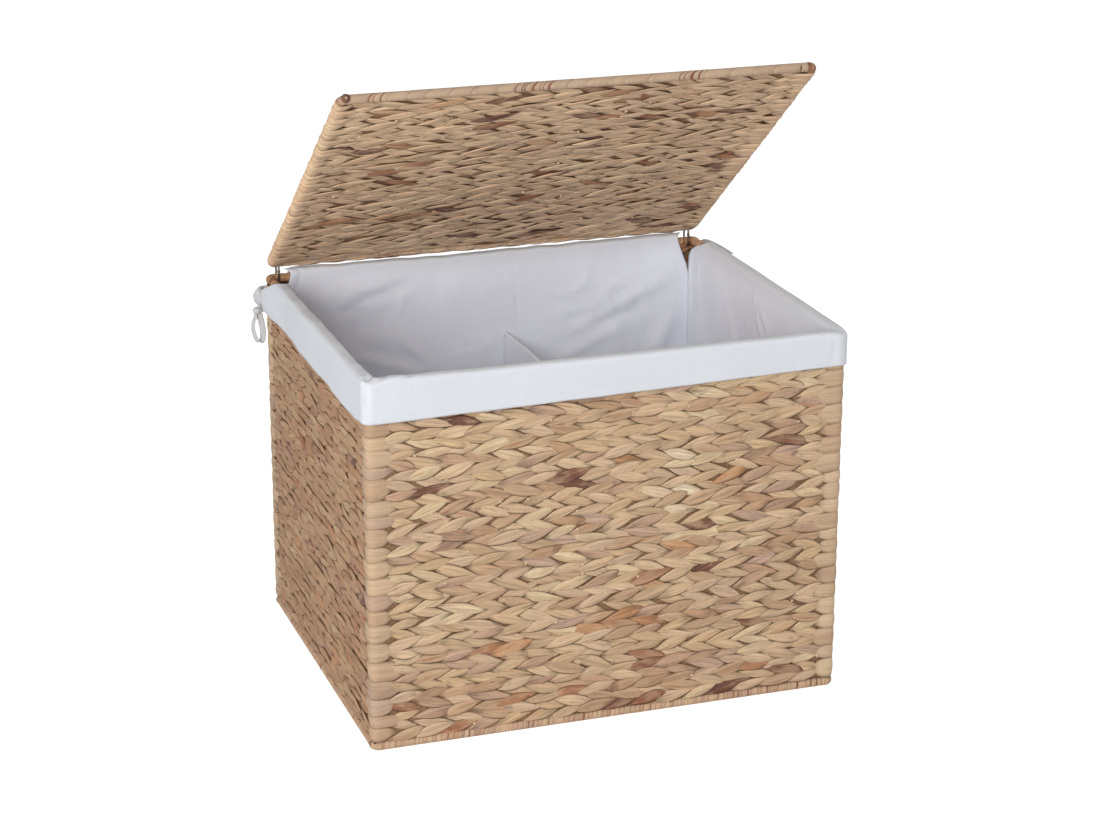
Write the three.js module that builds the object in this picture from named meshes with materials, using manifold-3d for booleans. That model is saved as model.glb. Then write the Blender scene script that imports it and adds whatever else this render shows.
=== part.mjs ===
// Lidded laundry basket: flat leaf weave on a welded wire frame, with a cloth liner of two compartments.
// Millimetres, +Z up, front towards -Y, origin on the floor under the middle of the basket.
import * as THREE from 'three';
import { mergeVertices } from 'three/addons/utils/BufferGeometryUtils.js';
import Module from 'manifold-3d';

const wasm = await Module();
wasm.setup();

// Basket and lid
const BASKET_WIDTH = 570;
const BASKET_DEPTH = 465;
const BASKET_HEIGHT = 435;
const LID_WIDTH = 564;
const LID_DEPTH = 463;
const LID_OPEN_ANGLE = 38;
const RAIL_DIAMETER = 11;
const WALL_THICKNESS = 9;
const FLOOR_THICKNESS = 9;
const LID_PANEL_THICKNESS = 9;
const CORNER_RADIUS = 9;
const BINDING_BEVEL = 1.5;

// Wire frame
const FRAME_WIRE_DIAMETER = 5;
const STAKE_DIAMETER = 3;
const STAKE_PITCH = 33.5;

// Hinge links
const HINGE_WIRE_DIAMETER = 2.2;
const HINGE_SLACK = 0.6;

// Cloth liner
const CLOTH_THICKNESS = 2;
const FOLD_RISE = 6;
const FOLD_BEVEL = 3;
const CUFF_HEIGHT = 48;
const HEM_WAVE_DEPTH = 2;
const HEM_WAVE_PITCH = 120;
const WALL_FOLD_DEPTH = 5;
const WALL_FOLD_PITCH = 88;
const LINER_CORNER_RADIUS = 3;
const FLAP_LINK_GAP = 11.5;
const SIDE_FLAP_SETBACK = 64;
const SIDE_FLAP_TIP_SETBACK = 12;
const CORNER_SLIT_DEPTH = 58;
const DIVIDER_OFFSET = 20;
const DIVIDER_HEIGHT = 335;
const DIVIDER_SAG = 5;
const DIVIDER_SEAM_WIDTH = 60;

// Tie tapes, with route points measured from the rim rails' crossing at their rear corner
const TAPE_DIAMETER = 3.2;
const TAPE_STEP = 8;
const KNOT_DIAMETER = 13;
const KNOT_HEIGHT = 17;
const LOWER_KNOT_DIAMETER = 12;
const LOWER_KNOT_HEIGHT = 8;
const KNOT_NECK_LENGTH = 7;
const LEFT_TAPE_ROUTE = [
  [29.5, 11, 0.5],
  [22.5, 11.2, -2.5],
  [16, 11.2, -9],
  [8.5, 11.2, -13.1],
  [-0.5, 11.2, -14.3],
  [-7.5, 11, -14.5],
  [-12.5, 8.4, -14.5],
];
const LOOP_ROUTE = [
  [-13.9, 0, -43.3],
  [-13.9, 0, -47.5],
  [-12.3, -0.6, -53.5],
  [-11.1, -2, -64.5],
  [-11.9, -3, -75.5],
  [-15.7, -3.4, -78.9],
  [-19.9, -3, -74.5],
  [-22.9, -2, -63.5],
  [-22.1, -0.6, -53.5],
  [-19.1, 0, -47.5],
  [-19.1, 0, -43.3],
];
const RIGHT_TAPE_ROUTE = [
  [-29.5, 11, 0.5],
  [-22.5, 11.2, -2.5],
  [-16, 11.2, -9],
  [-8.5, 11.2, -13.1],
  [0.5, 10.9, -12.9],
  [7.1, 9.2, -9.5],
  [11.1, 4.4, -4.5],
  [12.9, -5, -0.5],
  [14.9, -22, 1.5],
  [16.9, -42, 2.1],
  [18.3, -62, 1.9],
  [19.1, -81, 1.5],
];

// Clearances
const WIRE_CLEARANCE = 0.3;
const FIT_GAP = 0.3;
const CLOTH_GAP = 0.9;
const LID_LIFT = 2.5;

// Facets
const RAIL_SIDES = 12;
const WIRE_SIDES = 6;
const STAKE_SIDES = 6;
const CHANNEL_SIDES = 4;
const TAPE_SIDES = 8;
const ARC_SEGMENTS = 3;
const CLOTH_STEPS_X = 22;
const CLOTH_STEPS_Y = 18;
const CLOTH_STEPS_Z = 6;
const KNOT_STEPS = 5;
const WELD_TOLERANCE = 1e-4;

// Places worked out from the sizes
const RAIL_RADIUS = RAIL_DIAMETER / 2;
const WIRE_RADIUS = FRAME_WIRE_DIAMETER / 2;
const STAKE_RADIUS = STAKE_DIAMETER / 2;
const SIDE_AXIS_X = BASKET_WIDTH / 2 - RAIL_RADIUS;
const END_AXIS_Y = BASKET_DEPTH / 2 - RAIL_RADIUS;
const BASE_AXIS_Z = RAIL_RADIUS;
const RIM_AXIS_Z = BASKET_HEIGHT - RAIL_RADIUS;
const FOLD_TOP_Z = BASKET_HEIGHT + FOLD_RISE;
const LID_AXIS_Z = FOLD_TOP_Z + LID_LIFT + RAIL_RADIUS;
const LID_SIDE_AXIS_X = LID_WIDTH / 2 - RAIL_RADIUS;
const LID_REACH = LID_DEPTH - RAIL_DIAMETER;
const LINER_OUTER_X = BASKET_WIDTH / 2 - RAIL_DIAMETER - CLOTH_GAP;
const LINER_OUTER_Y = BASKET_DEPTH / 2 - RAIL_DIAMETER - CLOTH_GAP;
const FLOOR_TOP_Z = BASE_AXIS_Z + FLOOR_THICKNESS / 2;
const LINER_FLOOR_Z = FLOOR_TOP_Z + FIT_GAP;
const HINGE_RING_RADIUS = RAIL_RADIUS / Math.cos(Math.PI / RAIL_SIDES) + HINGE_SLACK;
const HINGE_X = LID_WIDTH / 2 - RAIL_DIAMETER - FIT_GAP - HINGE_WIRE_DIAMETER / 2;
const PAST_EVERYTHING = BASKET_WIDTH + BASKET_DEPTH + BASKET_HEIGHT;

// Finishes
const weaveFinish = { color: 0xc6a489, roughness: 0.85, metalness: 0 };
const bindingFinish = { color: 0xb8957a, roughness: 0.8, metalness: 0 };
const frameFinish = { color: 0x55504b, roughness: 0.5, metalness: 0.8 };
const linkFinish = { color: 0x8d8a86, roughness: 0.35, metalness: 0.9 };
const clothFinish = { color: 0xdddfe4, roughness: 0.95, metalness: 0 };

const basket = new THREE.Group();
const hingeLinks = new THREE.Group();
const lid = new THREE.Group();
lid.position.set(0, END_AXIS_Y, LID_AXIS_Z);
lid.rotation.x = -THREE.MathUtils.degToRad(LID_OPEN_ANGLE);
const group = new THREE.Group();
group.add(basket, hingeLinks, lid);

// Turns a closed geometry into a solid for cutting and joining
function solidOf(geometry) {
  const bare = geometry.clone();
  bare.deleteAttribute('normal');
  bare.deleteAttribute('uv');
  const merged = mergeVertices(bare, WELD_TOLERANCE);
  return new wasm.Manifold(new wasm.Mesh({
    numProp: 3,
    vertProperties: new Float32Array(merged.attributes.position.array),
    triVerts: new Uint32Array(merged.index.array),
  }));
}

function geometryOf(solid) {
  const mesh = solid.getMesh();
  const geometry = new THREE.BufferGeometry();
  geometry.setAttribute('position', new THREE.BufferAttribute(mesh.vertProperties, 3));
  geometry.setIndex(new THREE.BufferAttribute(mesh.triVerts, 1));
  geometry.computeVertexNormals();
  return geometry;
}

function addPart(parent, name, solid, finish) {
  const mesh = new THREE.Mesh(geometryOf(solid), new THREE.MeshStandardMaterial(finish));
  mesh.name = name;
  parent.add(mesh);
}

// A rod between two points that differ along one axis
function rod(from, to, radius, sides) {
  const start = new THREE.Vector3(...from);
  const end = new THREE.Vector3(...to);
  const span = end.clone().sub(start);
  const geometry = new THREE.CylinderGeometry(radius, radius, span.length(), sides, 1, false, Math.PI / sides);
  const turn = new THREE.Quaternion().setFromUnitVectors(new THREE.Vector3(0, 1, 0), span.normalize());
  geometry.applyQuaternion(turn);
  const middle = start.add(end).multiplyScalar(0.5);
  geometry.translate(middle.x, middle.y, middle.z);
  return solidOf(geometry);
}

function block(low, high) {
  const size = new THREE.Vector3(...high).sub(new THREE.Vector3(...low));
  const geometry = new THREE.BoxGeometry(size.x, size.y, size.z);
  geometry.translate((low[0] + high[0]) / 2, (low[1] + high[1]) / 2, (low[2] + high[2]) / 2);
  return solidOf(geometry);
}

// An outline in the XY plane raised from one height to another
function prism(shape, lowZ, highZ, bevel = 0) {
  const geometry = new THREE.ExtrudeGeometry(shape, {
    depth: highZ - lowZ - 2 * bevel,
    bevelEnabled: bevel > 0,
    bevelSize: bevel,
    bevelThickness: bevel,
    bevelOffset: -bevel,
    bevelSegments: 1,
    curveSegments: ARC_SEGMENTS,
  });
  geometry.translate(0, 0, lowZ + bevel);
  return solidOf(geometry);
}

// An outline in the YZ plane, extruded along X about a middle place
function slab(shape, middleX, thickness, bevel = 0) {
  const geometry = new THREE.ExtrudeGeometry(shape, {
    depth: thickness - 2 * bevel,
    bevelEnabled: bevel > 0,
    bevelSize: bevel,
    bevelThickness: bevel,
    bevelOffset: -bevel,
    bevelSegments: 1,
    curveSegments: 2 * ARC_SEGMENTS,
  });
  geometry.translate(0, 0, bevel - thickness / 2);
  const upright = new THREE.Matrix4().makeBasis(
    new THREE.Vector3(0, 1, 0),
    new THREE.Vector3(0, 0, 1),
    new THREE.Vector3(1, 0, 0),
  );
  geometry.applyMatrix4(upright);
  geometry.translate(middleX, 0, 0);
  return solidOf(geometry);
}

function shapeOf(points) {
  return new THREE.Shape(points.map(([x, y]) => new THREE.Vector2(x, y)));
}

function roundedRectangle(halfWidth, halfDepth, radius) {
  const shape = new THREE.Shape();
  shape.absarc(halfWidth - radius, halfDepth - radius, radius, 0, Math.PI / 2);
  shape.absarc(radius - halfWidth, halfDepth - radius, radius, Math.PI / 2, Math.PI);
  shape.absarc(radius - halfWidth, radius - halfDepth, radius, Math.PI, 1.5 * Math.PI);
  shape.absarc(halfWidth - radius, radius - halfDepth, radius, 1.5 * Math.PI, 2 * Math.PI);
  return shape;
}

// Stakes stand at an even pitch between two corners
function stakePlaces(span) {
  const gaps = Math.max(2, Math.round(span / STAKE_PITCH));
  return Array.from({ length: gaps - 1 }, (_, i) => span * ((i + 1) / gaps - 0.5));
}

function joined(solids) {
  return solids.reduce((whole, next) => whole.add(next));
}

const CORNERS = [
  { name: 'front_left', x: -1, y: -1 },
  { name: 'front_right', x: 1, y: -1 },
  { name: 'back_left', x: -1, y: 1 },
  { name: 'back_right', x: 1, y: 1 },
];

// A level hoop of four rods welded where their axes cross
function hoop(sideX, frontY, backY, z, grow) {
  const radius = WIRE_RADIUS + grow;
  const past = sideX + radius * Math.cos(Math.PI / WIRE_SIDES);
  return joined([
    rod([-past, frontY, z], [past, frontY, z], radius, WIRE_SIDES),
    rod([-past, backY, z], [past, backY, z], radius, WIRE_SIDES),
    rod([-sideX, frontY - grow, z], [-sideX, backY + grow, z], radius, WIRE_SIDES),
    rod([sideX, frontY - grow, z], [sideX, backY + grow, z], radius, WIRE_SIDES),
  ]);
}

// A stake of the frame, or with grow the square channel that it needs in the weave
function stake(from, to, grow) {
  if (grow > 0) {
    return rod(from, to, (STAKE_RADIUS + grow) * Math.SQRT2, CHANNEL_SIDES);
  }
  return rod(from, to, STAKE_RADIUS, STAKE_SIDES);
}

// The welded frame of the basket, or with grow the room that it needs in the weave
function basketFrame(grow) {
  const rods = [];
  for (const z of [BASE_AXIS_Z, RIM_AXIS_Z]) {
    rods.push(hoop(SIDE_AXIS_X, -END_AXIS_Y, END_AXIS_Y, z, grow));
  }
  for (const corner of CORNERS) {
    const x = corner.x * SIDE_AXIS_X;
    const y = corner.y * END_AXIS_Y;
    rods.push(rod([x, y, BASE_AXIS_Z - grow], [x, y, RIM_AXIS_Z + grow], WIRE_RADIUS + grow, WIRE_SIDES));
  }
  for (const x of stakePlaces(2 * SIDE_AXIS_X)) {
    rods.push(stake([x, -END_AXIS_Y, BASE_AXIS_Z], [x, -END_AXIS_Y, RIM_AXIS_Z], grow));
    rods.push(stake([x, END_AXIS_Y, BASE_AXIS_Z], [x, END_AXIS_Y, RIM_AXIS_Z], grow));
    rods.push(stake([x, -END_AXIS_Y, BASE_AXIS_Z], [x, END_AXIS_Y, BASE_AXIS_Z], grow));
  }
  for (const y of stakePlaces(2 * END_AXIS_Y)) {
    rods.push(stake([-SIDE_AXIS_X, y, BASE_AXIS_Z], [-SIDE_AXIS_X, y, RIM_AXIS_Z], grow));
    rods.push(stake([SIDE_AXIS_X, y, BASE_AXIS_Z], [SIDE_AXIS_X, y, RIM_AXIS_Z], grow));
  }
  return joined(rods);
}

// The lid lies flat here, its rear rail on the X axis and its front towards -Y
function lidFrame(grow) {
  const rods = [hoop(LID_SIDE_AXIS_X, -LID_REACH, 0, 0, grow)];
  for (const x of stakePlaces(2 * LID_SIDE_AXIS_X)) {
    rods.push(stake([x, -LID_REACH, 0], [x, 0, 0], grow));
  }
  return joined(rods);
}

// The bound block where two rails meet, rounded on its outer edge
function cornerBinding(corner, sideX, frontY, backY, lowZ, highZ, bevel) {
  const shape = new THREE.Shape();
  const r = RAIL_RADIUS;
  shape.moveTo(-r, -r);
  shape.lineTo(r, -r);
  shape.absarc(r - CORNER_RADIUS, r - CORNER_RADIUS, CORNER_RADIUS, 0, Math.PI / 2);
  shape.lineTo(-r, r);
  const turns = { front_left: 2, front_right: 3, back_left: 1, back_right: 0 };
  const turn = new THREE.Matrix4().makeRotationZ(turns[corner.name] * Math.PI / 2);
  const geometry = geometryOf(prism(shape, lowZ, highZ, bevel));
  geometry.applyMatrix4(turn);
  geometry.translate(corner.x * sideX, corner.y < 0 ? frontY : backY, 0);
  return solidOf(geometry);
}

// Four whipped rails and four bound corners around one level hoop
function addRails(parent, prefix, sideX, frontY, backY, z, room) {
  const end = RAIL_RADIUS + FIT_GAP;
  const radius = RAIL_RADIUS / Math.cos(Math.PI / RAIL_SIDES);
  const runs = {
    front: [[end - sideX, frontY, z], [sideX - end, frontY, z]],
    back: [[end - sideX, backY, z], [sideX - end, backY, z]],
    left: [[-sideX, frontY + end, z], [-sideX, backY - end, z]],
    right: [[sideX, frontY + end, z], [sideX, backY - end, z]],
  };
  for (const [side, [from, to]] of Object.entries(runs)) {
    const rail = rod(from, to, radius, RAIL_SIDES).subtract(room);
    addPart(parent, `${prefix}_rail_whipping_${side}`, rail, bindingFinish);
  }
  for (const corner of CORNERS) {
    const low = z - RAIL_RADIUS;
    const high = z + RAIL_RADIUS;
    const binding = cornerBinding(corner, sideX, frontY, backY, low, high, BINDING_BEVEL);
    addPart(parent, `${prefix}_corner_binding_${corner.name}`, binding.subtract(room), bindingFinish);
  }
}

// Woven walls, floor and corner columns of the basket
function addBasketWeave(room) {
  const low = RAIL_DIAMETER + FIT_GAP;
  const high = BASKET_HEIGHT - RAIL_DIAMETER - FIT_GAP;
  const endX = SIDE_AXIS_X - RAIL_RADIUS - FIT_GAP;
  const endY = END_AXIS_Y - RAIL_RADIUS - FIT_GAP;
  const half = WALL_THICKNESS / 2;
  const front = block([-endX, -END_AXIS_Y - half, low], [endX, -END_AXIS_Y + half, high]);
  const left = block([-SIDE_AXIS_X - half, -endY, low], [-SIDE_AXIS_X + half, endY, high]);
  const right = block([SIDE_AXIS_X - half, -endY, low], [SIDE_AXIS_X + half, endY, high]);
  const whole = block([-endX, END_AXIS_Y - half, low], [endX, END_AXIS_Y + half, high]);
  const slots = hingeSlot(-1, END_AXIS_Y, RIM_AXIS_Z).add(hingeSlot(1, END_AXIS_Y, RIM_AXIS_Z));
  addPart(basket, 'woven_wall_front', front.subtract(room), weaveFinish);
  addPart(basket, 'woven_wall_back', whole.subtract(room).subtract(slots), weaveFinish);
  addPart(basket, 'woven_wall_left', left.subtract(room), weaveFinish);
  addPart(basket, 'woven_wall_right', right.subtract(room), weaveFinish);
  const floorLow = BASE_AXIS_Z - FLOOR_THICKNESS / 2;
  const floor = block([-endX, -endY, floorLow], [endX, endY, FLOOR_TOP_Z]);
  addPart(basket, 'woven_floor', floor.subtract(room), weaveFinish);
  for (const corner of CORNERS) {
    const column = cornerBinding(corner, SIDE_AXIS_X, -END_AXIS_Y, END_AXIS_Y, low, high, 0);
    addPart(basket, `corner_post_wrap_${corner.name}`, column.subtract(room), weaveFinish);
  }
}

// Room that a hinge link needs to swing round a rail
function hingeSlot(side, axisY, axisZ) {
  const reach = HINGE_RING_RADIUS + HINGE_WIRE_DIAMETER + FIT_GAP;
  const half = HINGE_WIRE_DIAMETER / 2 + FIT_GAP;
  const x = side * HINGE_X;
  return block([x - half, axisY - reach, axisZ - reach], [x + half, axisY + reach, axisZ + reach]);
}

// A wire loop round the rim rail and the lid's rear rail
function hingeLink(side) {
  const inner = HINGE_RING_RADIUS;
  const outer = inner + HINGE_WIRE_DIAMETER;
  const stadium = (radius) => {
    const path = new THREE.Path();
    path.absarc(END_AXIS_Y, LID_AXIS_Z, radius, 0, Math.PI);
    path.absarc(END_AXIS_Y, RIM_AXIS_Z, radius, Math.PI, 2 * Math.PI);
    return path;
  };
  const shape = new THREE.Shape(stadium(outer).getPoints(2 * ARC_SEGMENTS));
  shape.holes.push(new THREE.Path(stadium(inner).getPoints(2 * ARC_SEGMENTS)));
  return slab(shape, side * HINGE_X, HINGE_WIRE_DIAMETER);
}

function addLid() {
  const room = lidFrame(WIRE_CLEARANCE);
  addPart(lid, 'lid_wire_frame', lidFrame(0), frameFinish);
  addRails(lid, 'lid', LID_SIDE_AXIS_X, -LID_REACH, 0, 0, room);
  const endX = LID_SIDE_AXIS_X - RAIL_RADIUS - FIT_GAP;
  const half = LID_PANEL_THICKNESS / 2;
  const near = RAIL_RADIUS + FIT_GAP;
  const whole = block([-endX, near - LID_REACH, -half], [endX, -near, half]);
  const slots = hingeSlot(-1, 0, 0).add(hingeSlot(1, 0, 0));
  addPart(lid, 'lid_woven_panel', whole.subtract(room).subtract(slots), weaveFinish);
}

// The part of the plan between two corner seams, on one side of the basket
function seamWedge(side) {
  const crossing = (BASKET_WIDTH - BASKET_DEPTH) / 2;
  const far = PAST_EVERYTHING;
  const gap = FIT_GAP * Math.SQRT1_2;
  const outlines = {
    front: [[-crossing, -gap], [-crossing - far, -far - gap], [crossing + far, -far - gap], [crossing, -gap]],
    back: [[crossing, gap], [crossing + far, far + gap], [-crossing - far, far + gap], [-crossing, gap]],
    left: [[-crossing - gap, 0], [-crossing - far - gap, far], [-crossing - far - gap, -far]],
    right: [[crossing + gap, 0], [crossing + far + gap, -far], [crossing + far + gap, far]],
  };
  return prism(shapeOf(outlines[side]), -PAST_EVERYTHING, PAST_EVERYTHING);
}

// Stations round a rounded rectangle, as many for every size of it
function stations(halfWidth, halfDepth, radius) {
  const flatX = halfWidth - radius;
  const flatY = halfDepth - radius;
  const sides = [
    { from: [-flatX, -halfDepth], along: [1, 0], length: 2 * flatX, out: [0, -1], steps: CLOTH_STEPS_X },
    { from: [halfWidth, -flatY], along: [0, 1], length: 2 * flatY, out: [1, 0], steps: CLOTH_STEPS_Y },
    { from: [flatX, halfDepth], along: [-1, 0], length: 2 * flatX, out: [0, 1], steps: CLOTH_STEPS_X },
    { from: [-halfWidth, flatY], along: [0, -1], length: 2 * flatY, out: [-1, 0], steps: CLOTH_STEPS_Y },
  ];
  const round = [];
  for (const { from, along, length, out, steps } of sides) {
    for (let i = 0; i <= steps; i += 1) {
      const run = length * i / steps;
      round.push({ x: from[0] + along[0] * run, y: from[1] + along[1] * run, out, run, length });
    }
    const end = round[round.length - 1];
    for (let i = 1; i < ARC_SEGMENTS; i += 1) {
      const angle = Math.PI / 2 * i / ARC_SEGMENTS;
      const ahead = radius * Math.sin(angle);
      const aside = radius * (1 - Math.cos(angle));
      const x = end.x + along[0] * ahead - out[0] * aside;
      const y = end.y + along[1] * ahead - out[1] * aside;
      round.push({ x, y, out, run: 0, length: 0 });
    }
  }
  return round;
}

// Waves die out towards each corner seam and towards the divider's seams
function waveAt(station, pitch) {
  if (station.length === 0) {
    return 0;
  }
  const fromCorner = Math.min(station.run, station.length - station.run) / pitch;
  const fromSeam = Math.max(0, Math.abs(station.x - DIVIDER_OFFSET) - DIVIDER_SEAM_WIDTH / 2) / pitch;
  const fromDivider = station.out[1] === 0 ? 1 : fromSeam;
  const strength = Math.min(1, fromCorner, fromDivider);
  const count = Math.round(station.length / pitch);
  return strength * (1 - Math.cos(2 * Math.PI * count * station.run / station.length)) / 2;
}

// One closed skin through rows of stations, the last row joined to the first
function closedBand(rows) {
  const count = rows[0].length;
  const index = [];
  rows.forEach((row, r) => {
    const next = (r + 1) % rows.length;
    for (let i = 0; i < count; i += 1) {
      const j = (i + 1) % count;
      index.push(r * count + i, r * count + j, next * count + j);
      index.push(r * count + i, next * count + j, next * count + i);
    }
  });
  const geometry = new THREE.BufferGeometry();
  geometry.setAttribute('position', new THREE.Float32BufferAttribute(rows.flat(2), 3));
  geometry.setIndex(index);
  return solidOf(geometry);
}

// The cloth all round: down the inside, over the rim and down the outside as a cuff
function linerRing() {
  const t = CLOTH_THICKNESS;
  const skirtX = BASKET_WIDTH / 2 + CLOTH_GAP;
  const skirtY = BASKET_DEPTH / 2 + CLOTH_GAP;
  const skirtRadius = CORNER_RADIUS + CLOTH_GAP;
  const hem = FOLD_TOP_Z - CUFF_HEIGHT;
  const shoulder = FOLD_TOP_Z - FOLD_BEVEL;
  const bagHeight = FOLD_TOP_Z - LINER_FLOOR_Z;
  const skirtRow = (offset, z, waved) => {
    const wave = HEM_WAVE_DEPTH * waved;
    return stations(skirtX + offset, skirtY + offset, skirtRadius + offset).map((station) => {
      const push = wave * waveAt(station, HEM_WAVE_PITCH);
      return [station.x + station.out[0] * push, station.y + station.out[1] * push, z];
    });
  };
  const bagRow = (offset, z, folded) => {
    const fold = WALL_FOLD_DEPTH * folded;
    const radius = LINER_CORNER_RADIUS + t - offset;
    return stations(LINER_OUTER_X - offset, LINER_OUTER_Y - offset, radius).map((station) => {
      const push = fold * waveAt(station, WALL_FOLD_PITCH);
      return [station.x - station.out[0] * push, station.y - station.out[1] * push, z];
    });
  };
  const rows = [
    skirtRow(t, hem, 1),
    skirtRow(t, (hem + shoulder) / 2, 1 / 2),
    skirtRow(t, shoulder, 0),
    skirtRow(t - FOLD_BEVEL, FOLD_TOP_Z, 0),
    bagRow(t / 2, FOLD_TOP_Z, 0),
  ];
  for (let i = 0; i <= CLOTH_STEPS_Z; i += 1) {
    const share = i / CLOTH_STEPS_Z;
    rows.push(bagRow(t, FOLD_TOP_Z - t / 2 - (bagHeight - t / 2) * share, Math.sin(Math.PI * share)));
  }
  rows.push(bagRow(0, LINER_FLOOR_Z, 0));
  rows.push(bagRow(0, FOLD_TOP_Z - t, 0));
  rows.push(skirtRow(0, FOLD_TOP_Z - t, 0));
  rows.push(skirtRow(0, hem, 1));
  return closedBand(rows);
}

// Slits at the two rear corners, open to the hinge links
function backFlapSlit(side) {
  const slitZ = FOLD_TOP_Z - CORNER_SLIT_DEPTH;
  const flapX = side * (HINGE_X - HINGE_WIRE_DIAMETER / 2 - FLAP_LINK_GAP);
  const seamX = side * LINER_OUTER_X;
  const pastX = side * PAST_EVERYTHING;
  const top = FOLD_TOP_Z + FIT_GAP;
  const points = [[flapX, top], [seamX, slitZ], [pastX, slitZ], [pastX, top]];
  const ordered = side < 0 ? points.slice().reverse() : points;
  const flat = new THREE.ExtrudeGeometry(shapeOf(ordered.reverse()), { depth: PAST_EVERYTHING, bevelEnabled: false });
  flat.rotateX(Math.PI / 2);
  flat.translate(0, PAST_EVERYTHING, 0);
  const skirt = block(
    [Math.min(flapX, pastX), BASKET_DEPTH / 2, 0],
    [Math.max(flapX, pastX), PAST_EVERYTHING, top],
  );
  return solidOf(flat).add(skirt);
}

function sideFlapSlit() {
  const slitZ = FOLD_TOP_Z - CORNER_SLIT_DEPTH;
  const tipY = BASKET_DEPTH / 2 - SIDE_FLAP_TIP_SETBACK;
  const topY = BASKET_DEPTH / 2 - SIDE_FLAP_SETBACK;
  const top = FOLD_TOP_Z + FIT_GAP;
  const shape = new THREE.Shape();
  shape.moveTo(topY, top);
  shape.quadraticCurveTo((topY + tipY) / 2, FOLD_TOP_Z - FOLD_RISE, tipY, FOLD_TOP_Z - CORNER_SLIT_DEPTH / 2);
  shape.lineTo(tipY, slitZ);
  shape.lineTo(PAST_EVERYTHING, slitZ);
  shape.lineTo(PAST_EVERYTHING, top);
  return slab(shape, 0, 2 * PAST_EVERYTHING);
}

function addLiner() {
  const ring = linerRing();
  const front = ring.intersect(seamWedge('front'));
  const back = ring.intersect(seamWedge('back')).subtract(backFlapSlit(-1)).subtract(backFlapSlit(1));
  const left = ring.intersect(seamWedge('left')).subtract(sideFlapSlit());
  const right = ring.intersect(seamWedge('right')).subtract(sideFlapSlit());
  addPart(basket, 'liner_panel_front', front, clothFinish);
  addPart(basket, 'liner_panel_back', back, clothFinish);
  addPart(basket, 'liner_panel_left', left, clothFinish);
  addPart(basket, 'liner_panel_right', right, clothFinish);
  const inX = LINER_OUTER_X - CLOTH_THICKNESS - FIT_GAP;
  const inY = LINER_OUTER_Y - CLOTH_THICKNESS - FIT_GAP;
  const bottom = prism(
    roundedRectangle(inX, inY, LINER_CORNER_RADIUS),
    LINER_FLOOR_Z,
    LINER_FLOOR_Z + CLOTH_THICKNESS,
  );
  addPart(basket, 'liner_bottom', bottom, clothFinish);
  const low = LINER_FLOOR_Z + CLOTH_THICKNESS + FIT_GAP;
  const sheet = new THREE.Shape();
  sheet.moveTo(-inY, low);
  sheet.lineTo(inY, low);
  sheet.lineTo(inY, DIVIDER_HEIGHT);
  sheet.quadraticCurveTo(0, DIVIDER_HEIGHT - 2 * DIVIDER_SAG, -inY, DIVIDER_HEIGHT);
  addPart(basket, 'liner_divider', slab(sheet, DIVIDER_OFFSET, CLOTH_THICKNESS), clothFinish);
}

// A point measured from the rim rails' crossing at the left (-1) or right (1) rear corner
function fromRearCorner(side, [x, y, z]) {
  return new THREE.Vector3(side * SIDE_AXIS_X + x, END_AXIS_Y + y, RIM_AXIS_Z + z);
}

// A tape is a tube along a smooth curve through its route's points
function tape(side, route) {
  const curve = new THREE.CatmullRomCurve3(route.map((point) => fromRearCorner(side, point)));
  const turn = 2 * Math.PI / TAPE_SIDES;
  const around = Array.from({ length: TAPE_SIDES }, (_, i) => [Math.cos(i * turn), Math.sin(i * turn)]);
  const section = shapeOf(around.map(([x, y]) => [x * TAPE_DIAMETER / 2, y * TAPE_DIAMETER / 2]));
  const geometry = new THREE.ExtrudeGeometry(section, {
    extrudePath: curve,
    steps: Math.ceil(curve.getLength() / TAPE_STEP),
    bevelEnabled: false,
  });
  return solidOf(geometry);
}

// A knot turned about its upright axis: a rounded lump over a flat foot
function knot(place, diameter, height, footRadius, footLength) {
  const profile = [[0, -height / 2 - footLength], [footRadius, -height / 2 - footLength]];
  const lowest = Math.asin(2 * footRadius / diameter);
  for (let i = 0; i <= KNOT_STEPS; i += 1) {
    const angle = lowest + (Math.PI - lowest) * i / KNOT_STEPS;
    profile.push([diameter / 2 * Math.sin(angle), -height / 2 * Math.cos(angle)]);
  }
  profile[profile.length - 1][0] = 0;
  const geometry = new THREE.LatheGeometry(profile.map(([x, y]) => new THREE.Vector2(x, y)), TAPE_SIDES);
  geometry.rotateX(Math.PI / 2);
  geometry.translate(...place);
  return solidOf(geometry);
}

function addTies() {
  const tapeEnd = fromRearCorner(-1, LEFT_TAPE_ROUTE[LEFT_TAPE_ROUTE.length - 1]);
  const knotY = tapeEnd.y - KNOT_DIAMETER / 2 - 2 * FIT_GAP;
  const loopStart = fromRearCorner(-1, LOOP_ROUTE[0]);
  const loopEnd = fromRearCorner(-1, LOOP_ROUTE[LOOP_ROUTE.length - 1]);
  const lowerX = (loopStart.x + loopEnd.x) / 2;
  const lowerFoot = loopStart.z + FIT_GAP;
  const lowerZ = lowerFoot + LOWER_KNOT_HEIGHT / 2;
  const upperFoot = lowerFoot + LOWER_KNOT_HEIGHT + FIT_GAP;
  const upperZ = upperFoot + KNOT_NECK_LENGTH + KNOT_HEIGHT / 2;
  const lower = knot([lowerX, loopStart.y, lowerZ], LOWER_KNOT_DIAMETER, LOWER_KNOT_HEIGHT, TAPE_DIAMETER, 0);
  const upper = knot([tapeEnd.x, knotY, upperZ], KNOT_DIAMETER, KNOT_HEIGHT, TAPE_DIAMETER / 2, KNOT_NECK_LENGTH);
  addPart(basket, 'tie_tape_left', tape(-1, LEFT_TAPE_ROUTE), clothFinish);
  addPart(basket, 'tie_knot_left', upper, clothFinish);
  addPart(basket, 'tie_lower_knot_left', lower, clothFinish);
  addPart(basket, 'tie_bow_loop_left', tape(-1, LOOP_ROUTE), clothFinish);
  addPart(basket, 'tie_tape_right', tape(1, RIGHT_TAPE_ROUTE), clothFinish);
}

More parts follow.
